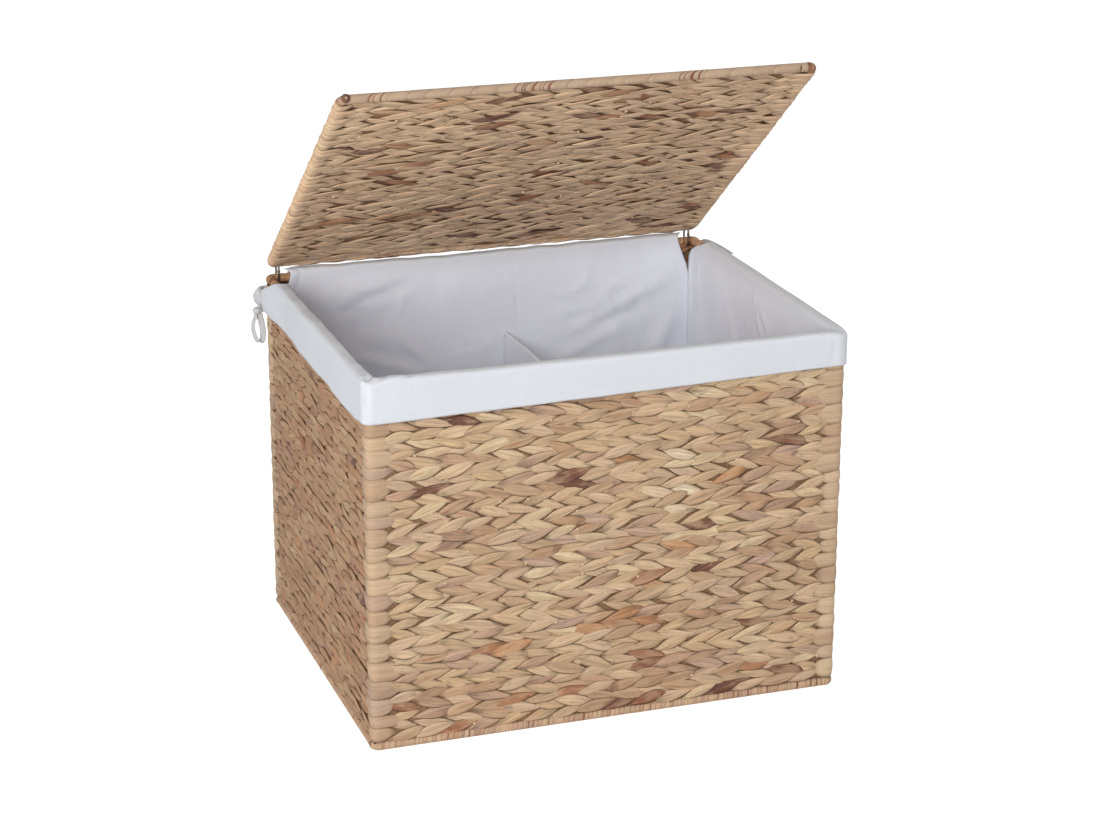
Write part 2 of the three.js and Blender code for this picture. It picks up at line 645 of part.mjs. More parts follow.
const room = basketFrame(WIRE_CLEARANCE);
addPart(basket, 'basket_wire_frame', basketFrame(0), frameFinish);
addRails(basket, 'base', SIDE_AXIS_X, -END_AXIS_Y, END_AXIS_Y, BASE_AXIS_Z, room);
addRails(basket, 'rim', SIDE_AXIS_X, -END_AXIS_Y, END_AXIS_Y, RIM_AXIS_Z, room);
addBasketWeave(room);
addPart(hingeLinks, 'hinge_link_left', hingeLink(-1), linkFinish);
addPart(hingeLinks, 'hinge_link_right', hingeLink(1), linkFinish);
addLid();
addLiner();
addTies();

export default group;
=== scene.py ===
"""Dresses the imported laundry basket: twined leaf on a wire frame, whipped rails and a cotton liner.

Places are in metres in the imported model's frame: +Z up, front towards -Y, +X to the front's right.
"""
import logging
import math
from dataclasses import dataclass
from enum import Enum
from functools import reduce
from random import Random
from typing import Callable, Sequence

import bmesh
import bpy
from mathutils import Matrix, Vector, noise


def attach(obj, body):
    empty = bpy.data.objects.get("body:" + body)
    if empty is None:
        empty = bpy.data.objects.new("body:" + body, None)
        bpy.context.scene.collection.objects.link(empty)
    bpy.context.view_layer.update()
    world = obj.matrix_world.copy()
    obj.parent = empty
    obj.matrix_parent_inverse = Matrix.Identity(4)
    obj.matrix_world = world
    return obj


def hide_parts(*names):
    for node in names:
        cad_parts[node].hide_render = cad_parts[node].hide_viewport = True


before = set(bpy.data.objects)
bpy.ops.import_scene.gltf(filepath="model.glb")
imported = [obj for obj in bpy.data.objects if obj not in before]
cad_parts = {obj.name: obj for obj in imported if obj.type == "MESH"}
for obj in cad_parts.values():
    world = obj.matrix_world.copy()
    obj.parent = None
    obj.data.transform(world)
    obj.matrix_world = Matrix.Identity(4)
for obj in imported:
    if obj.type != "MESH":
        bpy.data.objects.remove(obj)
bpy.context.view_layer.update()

LOG = logging.getLogger("laundry_basket")

MM = 0.001
POST_X = 0.2795  # the corner posts and the rails above and below them
POST_Y = 0.227
BASE_Z = 0.0055
RIM_Z = 0.4295
RAIL_RADIUS = 0.0055
FOLD_TOP_Z = 0.441
SLIT_FOOT_Z = 0.383
LID_PIVOT = Vector((0.0, 0.227, 0.449))
LID_ANGLE = math.radians(38)
LID_SIDE_X = 0.2765
LID_REACH = 0.452
LINK_X = 0.2696
CORE = 1  # the material index of the leaf core behind the lobes

Point = tuple[float, float, float]
Colour = tuple[float, float, float]
Range = tuple[float, float]
Socket = bpy.types.NodeSocket
Material = bpy.types.Material
Mesh = bpy.types.Mesh
Piece = bpy.types.Object
BMesh = bmesh.types.BMesh
BMVert = bmesh.types.BMVert
BMEdge = bmesh.types.BMEdge
BMFace = bmesh.types.BMFace
Edges = list[BMEdge]


class Side(Enum):
    """A side of the basket, with its outward direction."""

    FRONT = (0.0, -1.0)
    RIGHT = (1.0, 0.0)
    BACK = (0.0, 1.0)
    LEFT = (-1.0, 0.0)

    @property
    def out(self) -> Vector:
        """The outward direction."""
        return Vector((*self.value, 0))

    @property
    def ahead(self) -> Vector:
        """The direction along the side, going round anticlockwise."""
        return Vector((-self.value[1], self.value[0], 0))

    @property
    def number(self) -> int:
        """The side's place in the order, for its seeds."""
        return list(Side).index(self)

    def along(self, place: Vector) -> float:
        """A place's X on the front and back, or its Y on the left and right."""
        return place.y if self.value[0] else place.x


class Corner(Enum):
    """A corner of the basket or of the lid, with the signs of its X and Y."""

    FRONT_LEFT = (-1, -1)
    FRONT_RIGHT = (1, -1)
    BACK_LEFT = (-1, 1)
    BACK_RIGHT = (1, 1)


class Slant(Enum):
    """Which way the lobes of a row lean."""

    RISING = 1
    FALLING = -1


class Body(Enum):
    """The bodies that pieces ride on."""

    BASKET = "basket"
    LINKS = "hinge_links"
    LID = "lid"


# ---------------------------------------------------------------- numbers and places


def display_colour(*levels: float) -> Colour:
    """Turns red, green and blue of 0 to 255, as seen on a screen, into linear light of 0 to 1."""
    shares = [level / 255 for level in levels]
    return tuple(
        share / 12.92 if share <= 0.04045 else ((share + 0.055) / 1.055) ** 2.4 for share in shares
    )


def smooth_step(low: float, high: float, value: float) -> float:
    """Rises smoothly from 0 where the value is at low to 1 at high."""
    share = min(1.0, max(0.0, (value - low) / (high - low)))
    return share * share * (3 - 2 * share)


def bell(centre: float, reach: float, value: float) -> float:
    """A smooth bump of height 1 round centre, nearly gone at twice its reach."""
    return math.exp(-((value - centre) / reach) ** 2)


def wander(x: float, y: float, z: float) -> float:
    """Smooth noise of about -1 to 1 that turns about once for each step of 1."""
    return noise.noise(Vector((x, y, z)))


def moved(x: float, y: float = 0.0, z: float = 0.0) -> Matrix:
    """A shift."""
    return Matrix.Translation((x, y, z))


def turned(angle: float, axis: str) -> Matrix:
    """A turn about X, Y or Z."""
    return Matrix.Rotation(angle, 4, axis)


def stretched(x: float, y: float, z: float) -> Matrix:
    """A stretch along X, Y and Z."""
    return Matrix.Diagonal((x, y, z, 1))


def facing(x: Sequence[float], y: Sequence[float], z: Sequence[float]) -> Matrix:
    """The matrix that takes X, Y and Z to three directions."""
    return Matrix((x, y, z)).transposed().to_4x4()


def aimed(direction: Vector) -> Matrix:
    """The turn that takes Z to a direction."""
    return Vector((0, 0, 1)).rotation_difference(direction).to_matrix().to_4x4()


def lid_frame() -> Matrix:
    """The lid's own frame at rest: X along its hinge, Y from its front to its hinge, Z out of its top."""
    return moved(*LID_PIVOT) @ turned(-LID_ANGLE, "X")


@dataclass(frozen=True)
class Ripple:
    """Smooth noise in cloth: its height, how often it turns each metre along and up, and its seed."""

    height: float
    along: float
    up: float
    seed: float = 0.0

    def at(self, along: float, up: float, seed: float = 0.0) -> float:
        """The noise at a place, down to minus its height and up to its height."""
        return self.height * wander(along * self.along, up * self.up, self.seed + seed)


# ---------------------------------------------------------------- materials


class ShaderGraph:
    """A node tree with short calls for the nodes that the finishes use."""

    def __init__(self, tree: bpy.types.NodeTree) -> None:
        """Keeps the tree that the nodes go into."""
        self.tree = tree

    @classmethod
    def emptied(cls, owner: Material | bpy.types.World) -> "ShaderGraph":
        """The graph of a material or of the world, with nothing in it."""
        owner.use_nodes = True
        owner.node_tree.nodes.clear()
        return cls(owner.node_tree)

    def feed(self, target: Socket, source: object) -> None:
        """Links a socket, or sets a constant, into the target socket."""
        if isinstance(source, Socket):
            self.tree.links.new(source, target)
        else:
            target.default_value = source

    def node(self, kind: str, feeds: Sequence[object] | dict[str, object] = (),
             **settings: object) -> bpy.types.Node:
        """Adds a node.

        Args:
            kind: The node's type without its ShaderNode prefix.
            feeds: A socket or constant for its inputs, in their order or by name.
            **settings: Properties set on it.

        Returns:
            The new node.
        """
        made = self.tree.nodes.new("ShaderNode" + kind)
        for name, value in settings.items():
            setattr(made, name, value)
        for key, source in feeds.items() if isinstance(feeds, dict) else enumerate(feeds):
            self.feed(made.inputs[key], source)
        return made

    def math(self, operation: str, first: object, second: object = 0.0, clamp: bool = False) -> Socket:
        """A Math node's result."""
        return self.node("Math", (first, second), operation=operation, use_clamp=clamp).outputs[0]

    def times(self, *values: object) -> Socket:
        """The product of sockets and numbers."""
        return reduce(lambda first, second: self.math("MULTIPLY", first, second), values)

    def plus(self, first: object, second: object) -> Socket:
        """The sum of two sockets or numbers."""
        return self.math("ADD", first, second)

    def range(self, value: object, low: float, high: float, to_low: float, to_high: float) -> Socket:
        """Maps a value smoothly from one range, low to high, to another, to_low to to_high."""
        feeds = (value, low, high, to_low, to_high)
        return self.node("MapRange", feeds, interpolation_type="SMOOTHSTEP").outputs[0]

    def vector(self, x: object, y: object, z: object) -> Socket:
        """Three values as a vector."""
        return self.node("CombineXYZ", (x, y, z)).outputs[0]

    def split(self, vector: object) -> Sequence[Socket]:
        """A vector's three values."""
        return self.node("SeparateXYZ", (vector,)).outputs

    def noise(self, place: object, scale: float, detail: float, roughness: float) -> Socket:
        """Soft noise of 0 to 1, with finer layers by detail that are as strong as roughness says."""
        feeds = {"Vector": place, "Scale": scale, "Detail": detail, "Roughness": roughness}
        return self.node("TexNoise", feeds).outputs["Fac"]

    def blend(self, share: object, first: object, second: object, way: str = "MIX") -> Socket:
        """Mixes two colours.

        Args:
            share: How much of the second, 0 to 1.
            first: A socket or colour.
            second: A socket or colour.
            way: The blend type.

        Returns:
            The colour's socket.
        """
        made = self.node("Mix", {"Factor": share}, data_type="RGBA", blend_type=way)
        colours = [socket for socket in made.inputs if socket.type == "RGBA"]
        for socket, value in zip(colours, (first, second)):
            self.feed(socket, value if isinstance(value, Socket) else (*value, 1.0))
        return next(socket for socket in made.outputs if socket.type == "RGBA")

    def scaled(self, colour: object, value: object) -> Socket:
        """A colour times a value."""
        return self.blend(1.0, colour, self.vector(value, value, value), "MULTIPLY")

    def ramp(self, value: object, stops: Sequence[Sequence[float]]) -> Socket:
        """A colour ramp.

        Args:
            value: The socket that is read.
            stops: Places from 0 to 1, each with its red, green and blue as seen on a screen.

        Returns:
            The colour's socket.
        """
        made = self.node("ValToRGB", (value,))
        elements = made.color_ramp.elements
        while len(elements) < len(stops):
            elements.new(0.5)
        for element, (place, *levels) in zip(elements, stops):
            element.position = place
            element.color = (*display_colour(*levels), 1.0)
        return made.outputs["Color"]


class EffectGroup:
    """A shader node group with named inputs and outputs, built once and placed in several materials."""

    def __init__(self, name: str, inputs: Sequence[tuple[str, str, object]], **outputs: str) -> None:
        """Makes the group's tree and sockets.

        Args:
            name: The group's name.
            inputs: Name, socket type and default of each input.
            **outputs: The socket type of each output, by name.
        """
        self.tree = bpy.data.node_groups.new(name, "ShaderNodeTree")
        for label, kind, default in inputs:
            socket = self.tree.interface.new_socket(label, in_out="INPUT", socket_type="NodeSocket" + kind)
            if default is not None:
                socket.default_value = default
        for label, kind in outputs.items():
            self.tree.interface.new_socket(label, in_out="OUTPUT", socket_type="NodeSocket" + kind)
        self.graph = ShaderGraph(self.tree)
        self.entry = self.tree.nodes.new("NodeGroupInput").outputs
        self.exit = self.tree.nodes.new("NodeGroupOutput").inputs

    def place(self, graph: ShaderGraph, **values: object) -> bpy.types.bpy_prop_collection:
        """Places the group in a material's graph, with a socket or constant for each input by name.

        Args:
            graph: The material's graph.
            **values: A socket or constant for each input.

        Returns:
            The placed group's outputs.
        """
        return graph.node("Group", values, node_tree=self.tree).outputs


LEAF_TONES = (
    (0.00, 232, 212, 180),
    (0.08, 221, 196, 162),
    (0.16, 214, 190, 152),
    (0.24, 217, 185, 151),
    (0.32, 204, 175, 147),
    (0.40, 209, 177, 138),
    (0.48, 197, 168, 135),
    (0.56, 192, 156, 124),
    (0.63, 190, 158, 138),
    (0.69, 186, 148, 114),
    (0.75, 172, 140, 116),
    (0.82, 150, 118, 98),
    (0.86, 194, 145, 104),
    (0.91, 168, 116, 86),
    (0.95, 142, 92, 70),
    (0.98, 116, 78, 64),
)
PLAIN_LEAF = display_colour(199, 167, 134)
FLUSHED_LEAF = display_colour(176, 122, 86)
# Painted shade: the dark brown line along each strand's edges stands in for the shadow where lobes overlap.
LEAF_EDGE_SHADE = display_colour(112, 76, 50)


def leaf_strand_group() -> EffectGroup:
    """Dried leaf seen along a strand: tone by tint, lengthwise streaks, specks, a dark end, painted shade
    with browner tips towards both ends and painted shade along its edges.

    Returns:
        The group, with Color, Roughness and Height.
    """
    group = EffectGroup(
        "leaf strand",
        [("Strand", "Vector", None), ("Tint", "Float", 0.0), ("Streaks", "Float", 1.0),
         ("Edge", "Float", 0.5), ("Wash", "Color", (1, 1, 1, 1)), ("Washed", "Float", 0.0)],
        Color="Color", Roughness="Float", Height="Float",
    )
    g = group.graph
    tint, streaks = group.entry["Tint"], group.entry["Streaks"]
    along, across, _ = g.split(group.entry["Strand"])
    seed = g.times(tint, 91.7)

    def read(along_scale: float, across_scale: float, shift: float, detail: float) -> Socket:
        """Noise stretched along the strand."""
        run = g.plus(g.times(along, along_scale), g.plus(seed, shift))
        return g.noise(g.vector(run, g.times(across, across_scale), seed), 1.0, detail, 0.65)

    def from_middle(way: object) -> Socket:
        """0 in the middle of the strand and 1 at its edges or ends."""
        return g.times(g.math("ABSOLUTE", g.math("SUBTRACT", way, 0.5)), 2.0)

    fine = read(1.5, 12.0, 0.0, 3.0)
    wide = read(1.1, 4.5, 5.0, 2.0)
    broad = read(2.2, 1.3, 11.0, 2.0)
    spots = read(13.0, 5.0, 17.0, 1.0)
    flush = read(0.8, 2.4, 23.0, 1.0)
    base = g.blend(g.range(broad, 0.34, 0.60, 0.50, 1.0), PLAIN_LEAF, g.ramp(tint, LEAF_TONES))
    base = g.blend(g.range(flush, 0.64, 0.72, 0.0, 0.45), base, FLUSHED_LEAF)
    # The wash is painted shade and warm bounce on the side walls, painted light on the lid, and the leaf's
    # own tone shift on the corners and whipping.
    washed = g.times(group.entry["Washed"], g.range(tint, 0.83, 0.9, 1.0, 0.0))
    warm = g.blend(washed, base, group.entry["Wash"])
    streak = g.range(fine, 0.36, 0.62, 0.80, 1.21)
    band = g.range(wide, 0.32, 0.64, 0.80, 1.10)
    line = g.range(fine, 0.28, 0.38, 0.62, 1.0)
    spread = g.plus(g.times(g.math("SUBTRACT", g.times(streak, band, line), 1.0), streaks), 1.0)
    # Painted shade along the strand's edges, where the lobes overlap, as strong as the edge shade input
    # says.
    rim = g.times(g.range(from_middle(across), 0.82, 0.97, 0.0, 1.0), group.entry["Edge"])
    # Darker towards both ends: painted shade where the ends tuck under their neighbours, and the leaf's own
    # browner tips.
    tip_shade_and_tone = g.range(from_middle(along), 0.60, 0.95, 1.0, 0.66)
    stained = g.times(g.range(broad, 0.50, 0.64, 0.0, 0.5), g.range(along, 0.45, 0.95, 0.0, 1.0))
    specks = g.times(g.range(spots, 0.68, 0.76, 0.0, 0.36), streaks)
    end, speck = g.math("SUBTRACT", 1.0, stained), g.math("SUBTRACT", 1.0, specks)
    surface = g.scaled(warm, g.times(g.times(spread, g.times(tip_shade_and_tone, end)), speck))
    g.feed(group.exit["Color"], g.blend(rim, surface, LEAF_EDGE_SHADE))
    g.feed(group.exit["Roughness"], g.range(fine, 0.3, 0.7, 0.80, 0.62))
    g.feed(group.exit["Height"], g.times(g.plus(fine, wide), streaks))
    return group


def cotton_group() -> EffectGroup:
    """Plain slubby cotton: fine crossing threads and longer slubs along the first direction.

    Returns:
        The group, with Shade and Height.
    """
    group = EffectGroup("cotton cloth", [("Place", "Vector", None)], Shade="Float", Height="Float")
    g = group.graph
    x, y, z = g.split(group.entry["Place"])

    def read(x_scale: float, y_scale: float, detail: float, roughness: float) -> Socket:
        """Noise stretched along the threads."""
        return g.noise(g.vector(g.times(x, x_scale), g.times(y, y_scale), z), 1.0, detail, roughness)

    dash = g.range(read(70, 620, 3.0, 0.7), 0.54, 0.72, 0.0, 1.0)
    cross = read(700, 60, 2.0, 0.6)
    soft = read(14, 14, 2.0, 0.5)
    thread = g.times(g.range(dash, 0.0, 1.0, 1.0, 0.93), g.range(cross, 0.3, 0.7, 0.985, 1.01))
    g.feed(group.exit["Shade"], g.times(thread, g.range(soft, 0.3, 0.7, 0.985, 1.01)))
    g.feed(group.exit["Height"], g.plus(g.times(dash, 0.7), g.times(cross, 0.4)))
    return group


@dataclass(frozen=True)
class Finish:
    """What every finish has: a name, a shader and a relief."""

    name: str

    @staticmethod
    def shade(graph: ShaderGraph, feeds: dict[str, object], height: object, relief: float,
              strength: float) -> None:
        """Closes a material off with its shader.

        Args:
            graph: The material's graph.
            feeds: A socket or constant for each of the shader's inputs by name.
            height: The relief's socket.
            relief: The metres that a height of 1 stands for.
            strength: The relief's strength.
        """
        bump = graph.node("Bump", {"Distance": relief, "Strength": strength, "Height": height})
        shader = graph.node("BsdfPrincipled", {**feeds, "Normal": bump.outputs[0]})
        graph.node("OutputMaterial", {"Surface": shader.outputs[0]})

    def start(self) -> tuple[Material, ShaderGraph]:
        """Makes the material, with an empty graph."""
        material = bpy.data.materials.new(self.name)
        return material, ShaderGraph.emptied(material)


@dataclass(frozen=True)
class LeafFinish(Finish):
    """Flat dried leaf that follows each strand's own UV map and tint."""

    strand: EffectGroup
    streaks: float = 0.7
    # The edge is how strong the painted shade along the strands' edges is.
    edge: float = 0.5
    # The wash and its share are painted shade on the side walls, painted light on the lid and the leaf's
    # own tone elsewhere.
    wash: Colour = (255, 255, 255)
    washed: float = 0.0
    relief: float = 0.3 * MM

    def material(self) -> Material:
        """The finish as a material."""
        material, graph = self.start()
        tint = graph.node("Attribute", attribute_name="tint").outputs["Fac"]
        place = graph.node("UVMap", uv_map="Strand").outputs[0]
        leaf = self.strand.place(graph, Strand=place, Tint=tint, Streaks=self.streaks, Edge=self.edge,
                                 Wash=(*display_colour(*self.wash), 1.0), Washed=self.washed)
        feeds = {"Base Color": leaf["Color"], "Roughness": leaf["Roughness"], "Specular IOR Level": 0.3}
        self.shade(graph, feeds, leaf["Height"], self.relief, 0.7)
        return material


@dataclass(frozen=True)
class SpeckledFinish(Finish):
    """Two tones mixed by soft noise, with a little relief: the leaf core, paint and bare wire."""

    light: Colour
    dark: Colour
    scale: float = 300.0
    roughness: float = 0.8
    metallic: float = 0.0
    relief: float = 0.1 * MM

    def material(self) -> Material:
        """The finish as a material."""
        material, graph = self.start()
        grain = graph.noise(graph.node("TexCoord").outputs["Object"], self.scale, 3.0, 0.6)
        light, dark = display_colour(*self.light), display_colour(*self.dark)
        rough = graph.range(grain, 0.3, 0.7, self.roughness - 0.08, self.roughness + 0.08)
        feeds = {"Base Color": graph.blend(graph.range(grain, 0.35, 0.65, 0, 1), dark, light),
                 "Roughness": rough, "Metallic": self.metallic}
        self.shade(graph, feeds, grain, self.relief, 0.5)
        return material


@dataclass(frozen=True)
class CottonFinish(Finish):
    """White cotton: tapes by their own coordinates, the liner by its UV map in metres, with painted light
    that makes it paler inside.
    """

    cloth: EffectGroup
    colour: Colour
    # The paler colour inside the liner is painted light.
    painted_light_inner_colour: Colour | None = None
    fold: Range = (405 * MM, 435 * MM)
    relief: float = 0.16 * MM

    def material(self) -> Material:
        """The finish as a material."""
        material, graph = self.start()
        colour: object = display_colour(*self.colour)
        # Painted light: the liner's inner wall gets the paler colour, up to the fold.
        if self.painted_light_inner_colour:
            place = graph.node("UVMap", uv_map="Cloth").outputs[0]
            outside = graph.range(graph.split(place)[1], *self.fold, 0.0, 1.0)
            colour = graph.blend(outside, display_colour(*self.painted_light_inner_colour), colour)
        else:
            place = graph.node("TexCoord").outputs["Object"]
        cloth = self.cloth.place(graph, Place=place)
        feeds = {"Base Color": graph.scaled(colour, cloth["Shade"]), "Roughness": 0.95,
                 "Specular IOR Level": 0.15}
        self.shade(graph, feeds, cloth["Height"], self.relief, 0.6)
        return material


class Wardrobe:
    """Every finish of the basket, made once."""

    def __init__(self) -> None:
        """Builds the shared effects and the materials."""
        strand = leaf_strand_group()
        cloth = cotton_group()

        def leaf(name: str, *looks: object) -> Material:
            """A leaf finish by its streaks, painted edge shade, wash, share of the wash and relief."""
            return LeafFinish(name, strand, *looks).material()

        # The second number of each leaf is the strength of its painted edge shade.
        self.leaf = leaf("woven_leaf", 0.7, 0.7)
        # Painted shade and warm bounce for the side walls: a darker orange wash.
        self.side_shade_leaf = leaf("side_shade_leaf", 0.7, 0.4, (150, 100, 62), 0.5)
        # Painted light for the lid: a pale wash that lightens its leaf.
        self.lid_painted_light_leaf = leaf("lid_painted_light_leaf", 1.0, 0.65, (248, 210, 172), 0.5)
        self.corner_leaf = leaf("corner_leaf", 0.4, 0.5, (208, 182, 156), 0.3)
        self.whipping = leaf("whipped_leaf", 0.7, 0.5, (198, 160, 134), 0.45, 0.2 * MM)
        self.sleek_whipping = leaf("sleek_leaf", 0.2, 0.1, (190, 164, 140), 0.7, 0.08 * MM)
        self.rim_whipping = leaf("rim_leaf", 0.7, 0.6, (176, 114, 72), 0.5, 0.2 * MM)
        self.core = SpeckledFinish("leaf_core", (148, 114, 82), (120, 88, 60)).material()
        self.paint = SpeckledFinish("frame_paint", (58, 50, 45), (38, 33, 30), roughness=0.5).material()
        self.wire = SpeckledFinish("hinge_wire", (150, 140, 128), (96, 84, 74), 700.0, 0.38, 0.9,
                                   0.05 * MM).material()
        # The second, paler colour is painted light inside the liner.
        self.cotton = CottonFinish("liner_cotton", cloth, (227, 230, 236), (238, 240, 248)).material()
        self.tape = CottonFinish("tape_cotton", cloth, (204, 205, 207)).material()


# ---------------------------------------------------------------- meshes


def kept_mesh(name: str, bm: BMesh, *materials: Material,
              open_cloth: bool = False) -> Mesh:
    """Keeps a bmesh as a mesh and frees it.

    Args:
        name: The mesh's name.
        bm: The bmesh.
        *materials: Its materials, by index.
        open_cloth: Whether it is an open sheet, whose normals stay as they are.

    Returns:
        The mesh.
    """
    if not open_cloth:
        bmesh.ops.recalc_face_normals(bm, faces=bm.faces[:])
    mesh = bpy.data.meshes.new(name)
    bm.to_mesh(mesh)
    bm.free()
    for material in materials:
        mesh.materials.append(material)
    return mesh


def new_piece(mesh: Mesh, body: Body, node: str) -> Piece:
    """Makes a mesh a piece of the basket.

    Args:
        mesh: Its mesh, in place, with the piece's name.
        body: The body it rides on.
        node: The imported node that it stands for.

    Returns:
        The piece.
    """
    mesh.shade_smooth()
    piece = bpy.data.objects.new(mesh.name, mesh)
    bpy.context.scene.collection.objects.link(piece)
    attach(piece, body.value)
    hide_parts(node)
    LOG.info("%s: %d faces on %s", mesh.name, len(mesh.polygons), body.value)
    return piece


def of_kind(geometry: Sequence[object], kind: type) -> list:
    """The vertices, edges or faces among what a bmesh operator gives back."""
    return [item for item in geometry if isinstance(item, kind)]


class StrandMesh:
    """A mesh that grows by copies of small templates, each copy with its own tint."""

    def __init__(self) -> None:
        """Starts with nothing but the strands' UV map."""
        self.bm = bmesh.new()
        self.bm.loops.layers.uv.new("Strand")
        self.tints: list[float] = []

    def add(self, template: Mesh, place: Matrix, tint: float, material: int = 0) -> None:
        """Adds a copy of a template.

        Args:
            template: The mesh that is copied.
            place: Where the copy goes.
            tint: Its tint, 0 to 1.
            material: Its material's index.
        """
        first_vertex = len(self.bm.verts)
        first_face = len(self.bm.faces)
        self.bm.from_mesh(template)
        self.bm.verts.ensure_lookup_table()
        copied = self.bm.verts[first_vertex:]
        bmesh.ops.transform(self.bm, matrix=place, verts=copied)
        if material:
            self.bm.faces.ensure_lookup_table()
            for face in self.bm.faces[first_face:]:
                face.material_index = material
        self.tints.extend([tint] * len(copied))

    def add_core(self, low: Sequence[float], high: Sequence[float], place: Matrix) -> None:
        """Adds the leaf core behind the lobes, a thin slab with its long edges broken.

        Args:
            low: Its lowest corner.
            high: Its highest corner.
            place: The frame that the corners are in.
        """
        size = Vector(high) - Vector(low)
        template = kept_mesh("core_slab", broken_box(size, min(size) * 0.3, 2))
        self.add(template, place @ moved(*(Vector(high) + Vector(low)) / 2), 0.5, CORE)
        bpy.data.meshes.remove(template)

    def finish(self, name: str, *materials: Material) -> Mesh:
        """The finished mesh, with its tints as an attribute."""
        mesh = kept_mesh(name, self.bm, *materials)
        mesh.attributes.new("tint", "FLOAT", "POINT").data.foreach_set("value", self.tints)
        return mesh


def strand_grid(along: int, across: int) -> BMesh:
    """A flat grid of 1 by 1 round the origin, with its UV map along and across the strand."""
    bm = bmesh.new()
    bm.loops.layers.uv.new("Strand")
    bmesh.ops.create_grid(bm, x_segments=along, y_segments=across, size=0.5, calc_uvs=True)
    return bm


def broken_box(size: Sequence[float], offset: float, segments: int) -> BMesh:
    """A box round the origin with its edges broken by an offset, with an empty UV map."""
    bm = bmesh.new()
    bm.loops.layers.uv.new("Strand")
    bmesh.ops.create_cube(bm, size=1.0)
    bmesh.ops.scale(bm, vec=size, verts=bm.verts)
    bmesh.ops.bevel(bm, geom=bm.edges[:], offset=offset, offset_type="OFFSET", segments=segments,
                    profile=0.5, affect="EDGES", material=-1)
    return bm


@dataclass(frozen=True)
class LeafLobe:
    """The lens of flat leaf between two stakes: pointed ends, crowned across, ends tucked under."""

    crown: float = 0.75 * MM
    tuck: float = 1.4 * MM
    fullness: float = 1.95
    point: float = 1.12
    bow: float = 0.0
    skew: float = 0.0
    ridge: float = 0.0
    along: int = 10
    across: int = 4

    def template(self, name: str) -> Mesh:
        """The closed lobe 1 long along X and 1 wide along Y, with its real height along Z."""
        bm = strand_grid(self.along, self.across)
        for vertex in bm.verts:
            share = vertex.co.x * 2
            flat = vertex.co.y * 2
            aside = math.copysign(abs(flat) ** 0.7, flat)
            leaning = share - self.skew * (1 - share * share)
            half = max(0.0, 1 - abs(leaning) ** self.fullness) ** self.point
            swell = max(0.0, 1 - share * share)
            height = self.crown * (1 - abs(aside) ** 3) * (0.5 + 0.5 * swell)
            height += self.ridge * math.cos(aside * 5.0) * swell - self.tuck * (1 - swell) ** 1.5
            vertex.co = Vector((vertex.co.x, aside * half / 2 + self.bow * swell, height))
        bmesh.ops.remove_doubles(bm, verts=bm.verts[:], dist=1e-5)
        bmesh.ops.edgeloop_fill(bm, edges=[edge for edge in bm.edges if edge.is_boundary])
        return kept_mesh(name, bm)


@dataclass(frozen=True)
class WrapTurn:
    """One turn of narrow leaf round a rail: a barrel 1 long along Z, with its seams at its ends."""

    radius: float = 5.1 * MM
    swell: float = 0.3 * MM
    segments: int = 12
    rings: int = 3

    def template(self, name: str) -> Mesh:
        """The closed barrel. Its UV map runs along the strand round it, and across it lengthwise."""
        bm = bmesh.new()
        strand = bm.loops.layers.uv.new("Strand")
        bmesh.ops.create_cone(bm, cap_ends=True, cap_tris=False, segments=self.segments,
                              radius1=self.radius, radius2=self.radius, depth=1.0)
        upright = [edge for edge in bm.edges if abs(edge.verts[0].co.z - edge.verts[1].co.z) > 0.5]
        bmesh.ops.subdivide_edges(bm, edges=upright, cuts=self.rings)
        for vertex in bm.verts:
            grown = 1 + self.swell / self.radius * (1 - (2 * vertex.co.z) ** 2)
            vertex.co.x *= grown
            vertex.co.y *= grown
        for face in bm.faces:
            middle = face.calc_center_median()
            turn = math.atan2(middle.y, middle.x)
            for loop in face.loops:
                angle = math.atan2(loop.vert.co.y, loop.vert.co.x)
                angle = turn + (angle - turn + math.pi) % (2 * math.pi) - math.pi
                loop[strand].uv = (0.5 + 0.3 * angle / math.pi, loop.vert.co.z + 0.5)
        return kept_mesh(name, bm)


@dataclass(frozen=True)
class BentStrip:
    """A strip of leaf bent round a post or a rail, pointed where it goes into the weave at either end."""

    first_reach: float = 30 * MM
    last_reach: float = 26 * MM
    sweep: float = 0.0
    crown: float = 1.0 * MM
    bend: float = math.pi / 2
    radius: float = 7.2 * MM
    height: float = 13.0 * MM
    dip: float = 2.6 * MM
    thickness: float = 0.3 * MM
    along: int = 18
    across: int = 4

    def template(self, name: str) -> Mesh:
        """The closed strip, bent round the origin. It comes in along X and turns upwards."""
        bm = strand_grid(self.along, self.across)
        total = self.first_reach + self.bend * self.radius + self.last_reach
        for vertex in bm.verts:
            share = vertex.co.x * 2
            aside = vertex.co.y * 2
            run = (vertex.co.x + 0.5) * total
            half = max(0.0, 1 - abs(share) ** 4) ** 0.9
            swell = max(0.0, 1 - abs(share) ** 5)
            angle = min(self.bend, max(0.0, (run - self.first_reach) / self.radius))
            before = max(0.0, self.first_reach - run)
            after = max(0.0, run - self.first_reach - self.bend * self.radius)
            sunk = smooth_step(0, self.first_reach, before) + smooth_step(0, self.last_reach, after)
            out = self.crown * (1 - aside * aside) * (0.3 + 0.7 * swell) - self.dip * sunk
            ahead = Vector((math.cos(angle), math.sin(angle)))
            outward = Vector((math.sin(angle), -math.cos(angle)))
            spot = outward * (self.radius + out) + ahead * (after - before)
            level = aside * half * self.height / 2 + self.sweep * share * abs(share)
            vertex.co = Vector((spot.x, spot.y, level))
        bmesh.ops.remove_doubles(bm, verts=bm.verts[:], dist=1e-5)
        bmesh.ops.solidify(bm, geom=bm.faces[:], thickness=self.thickness)
        return kept_mesh(name, bm)


# ---------------------------------------------------------------- weave


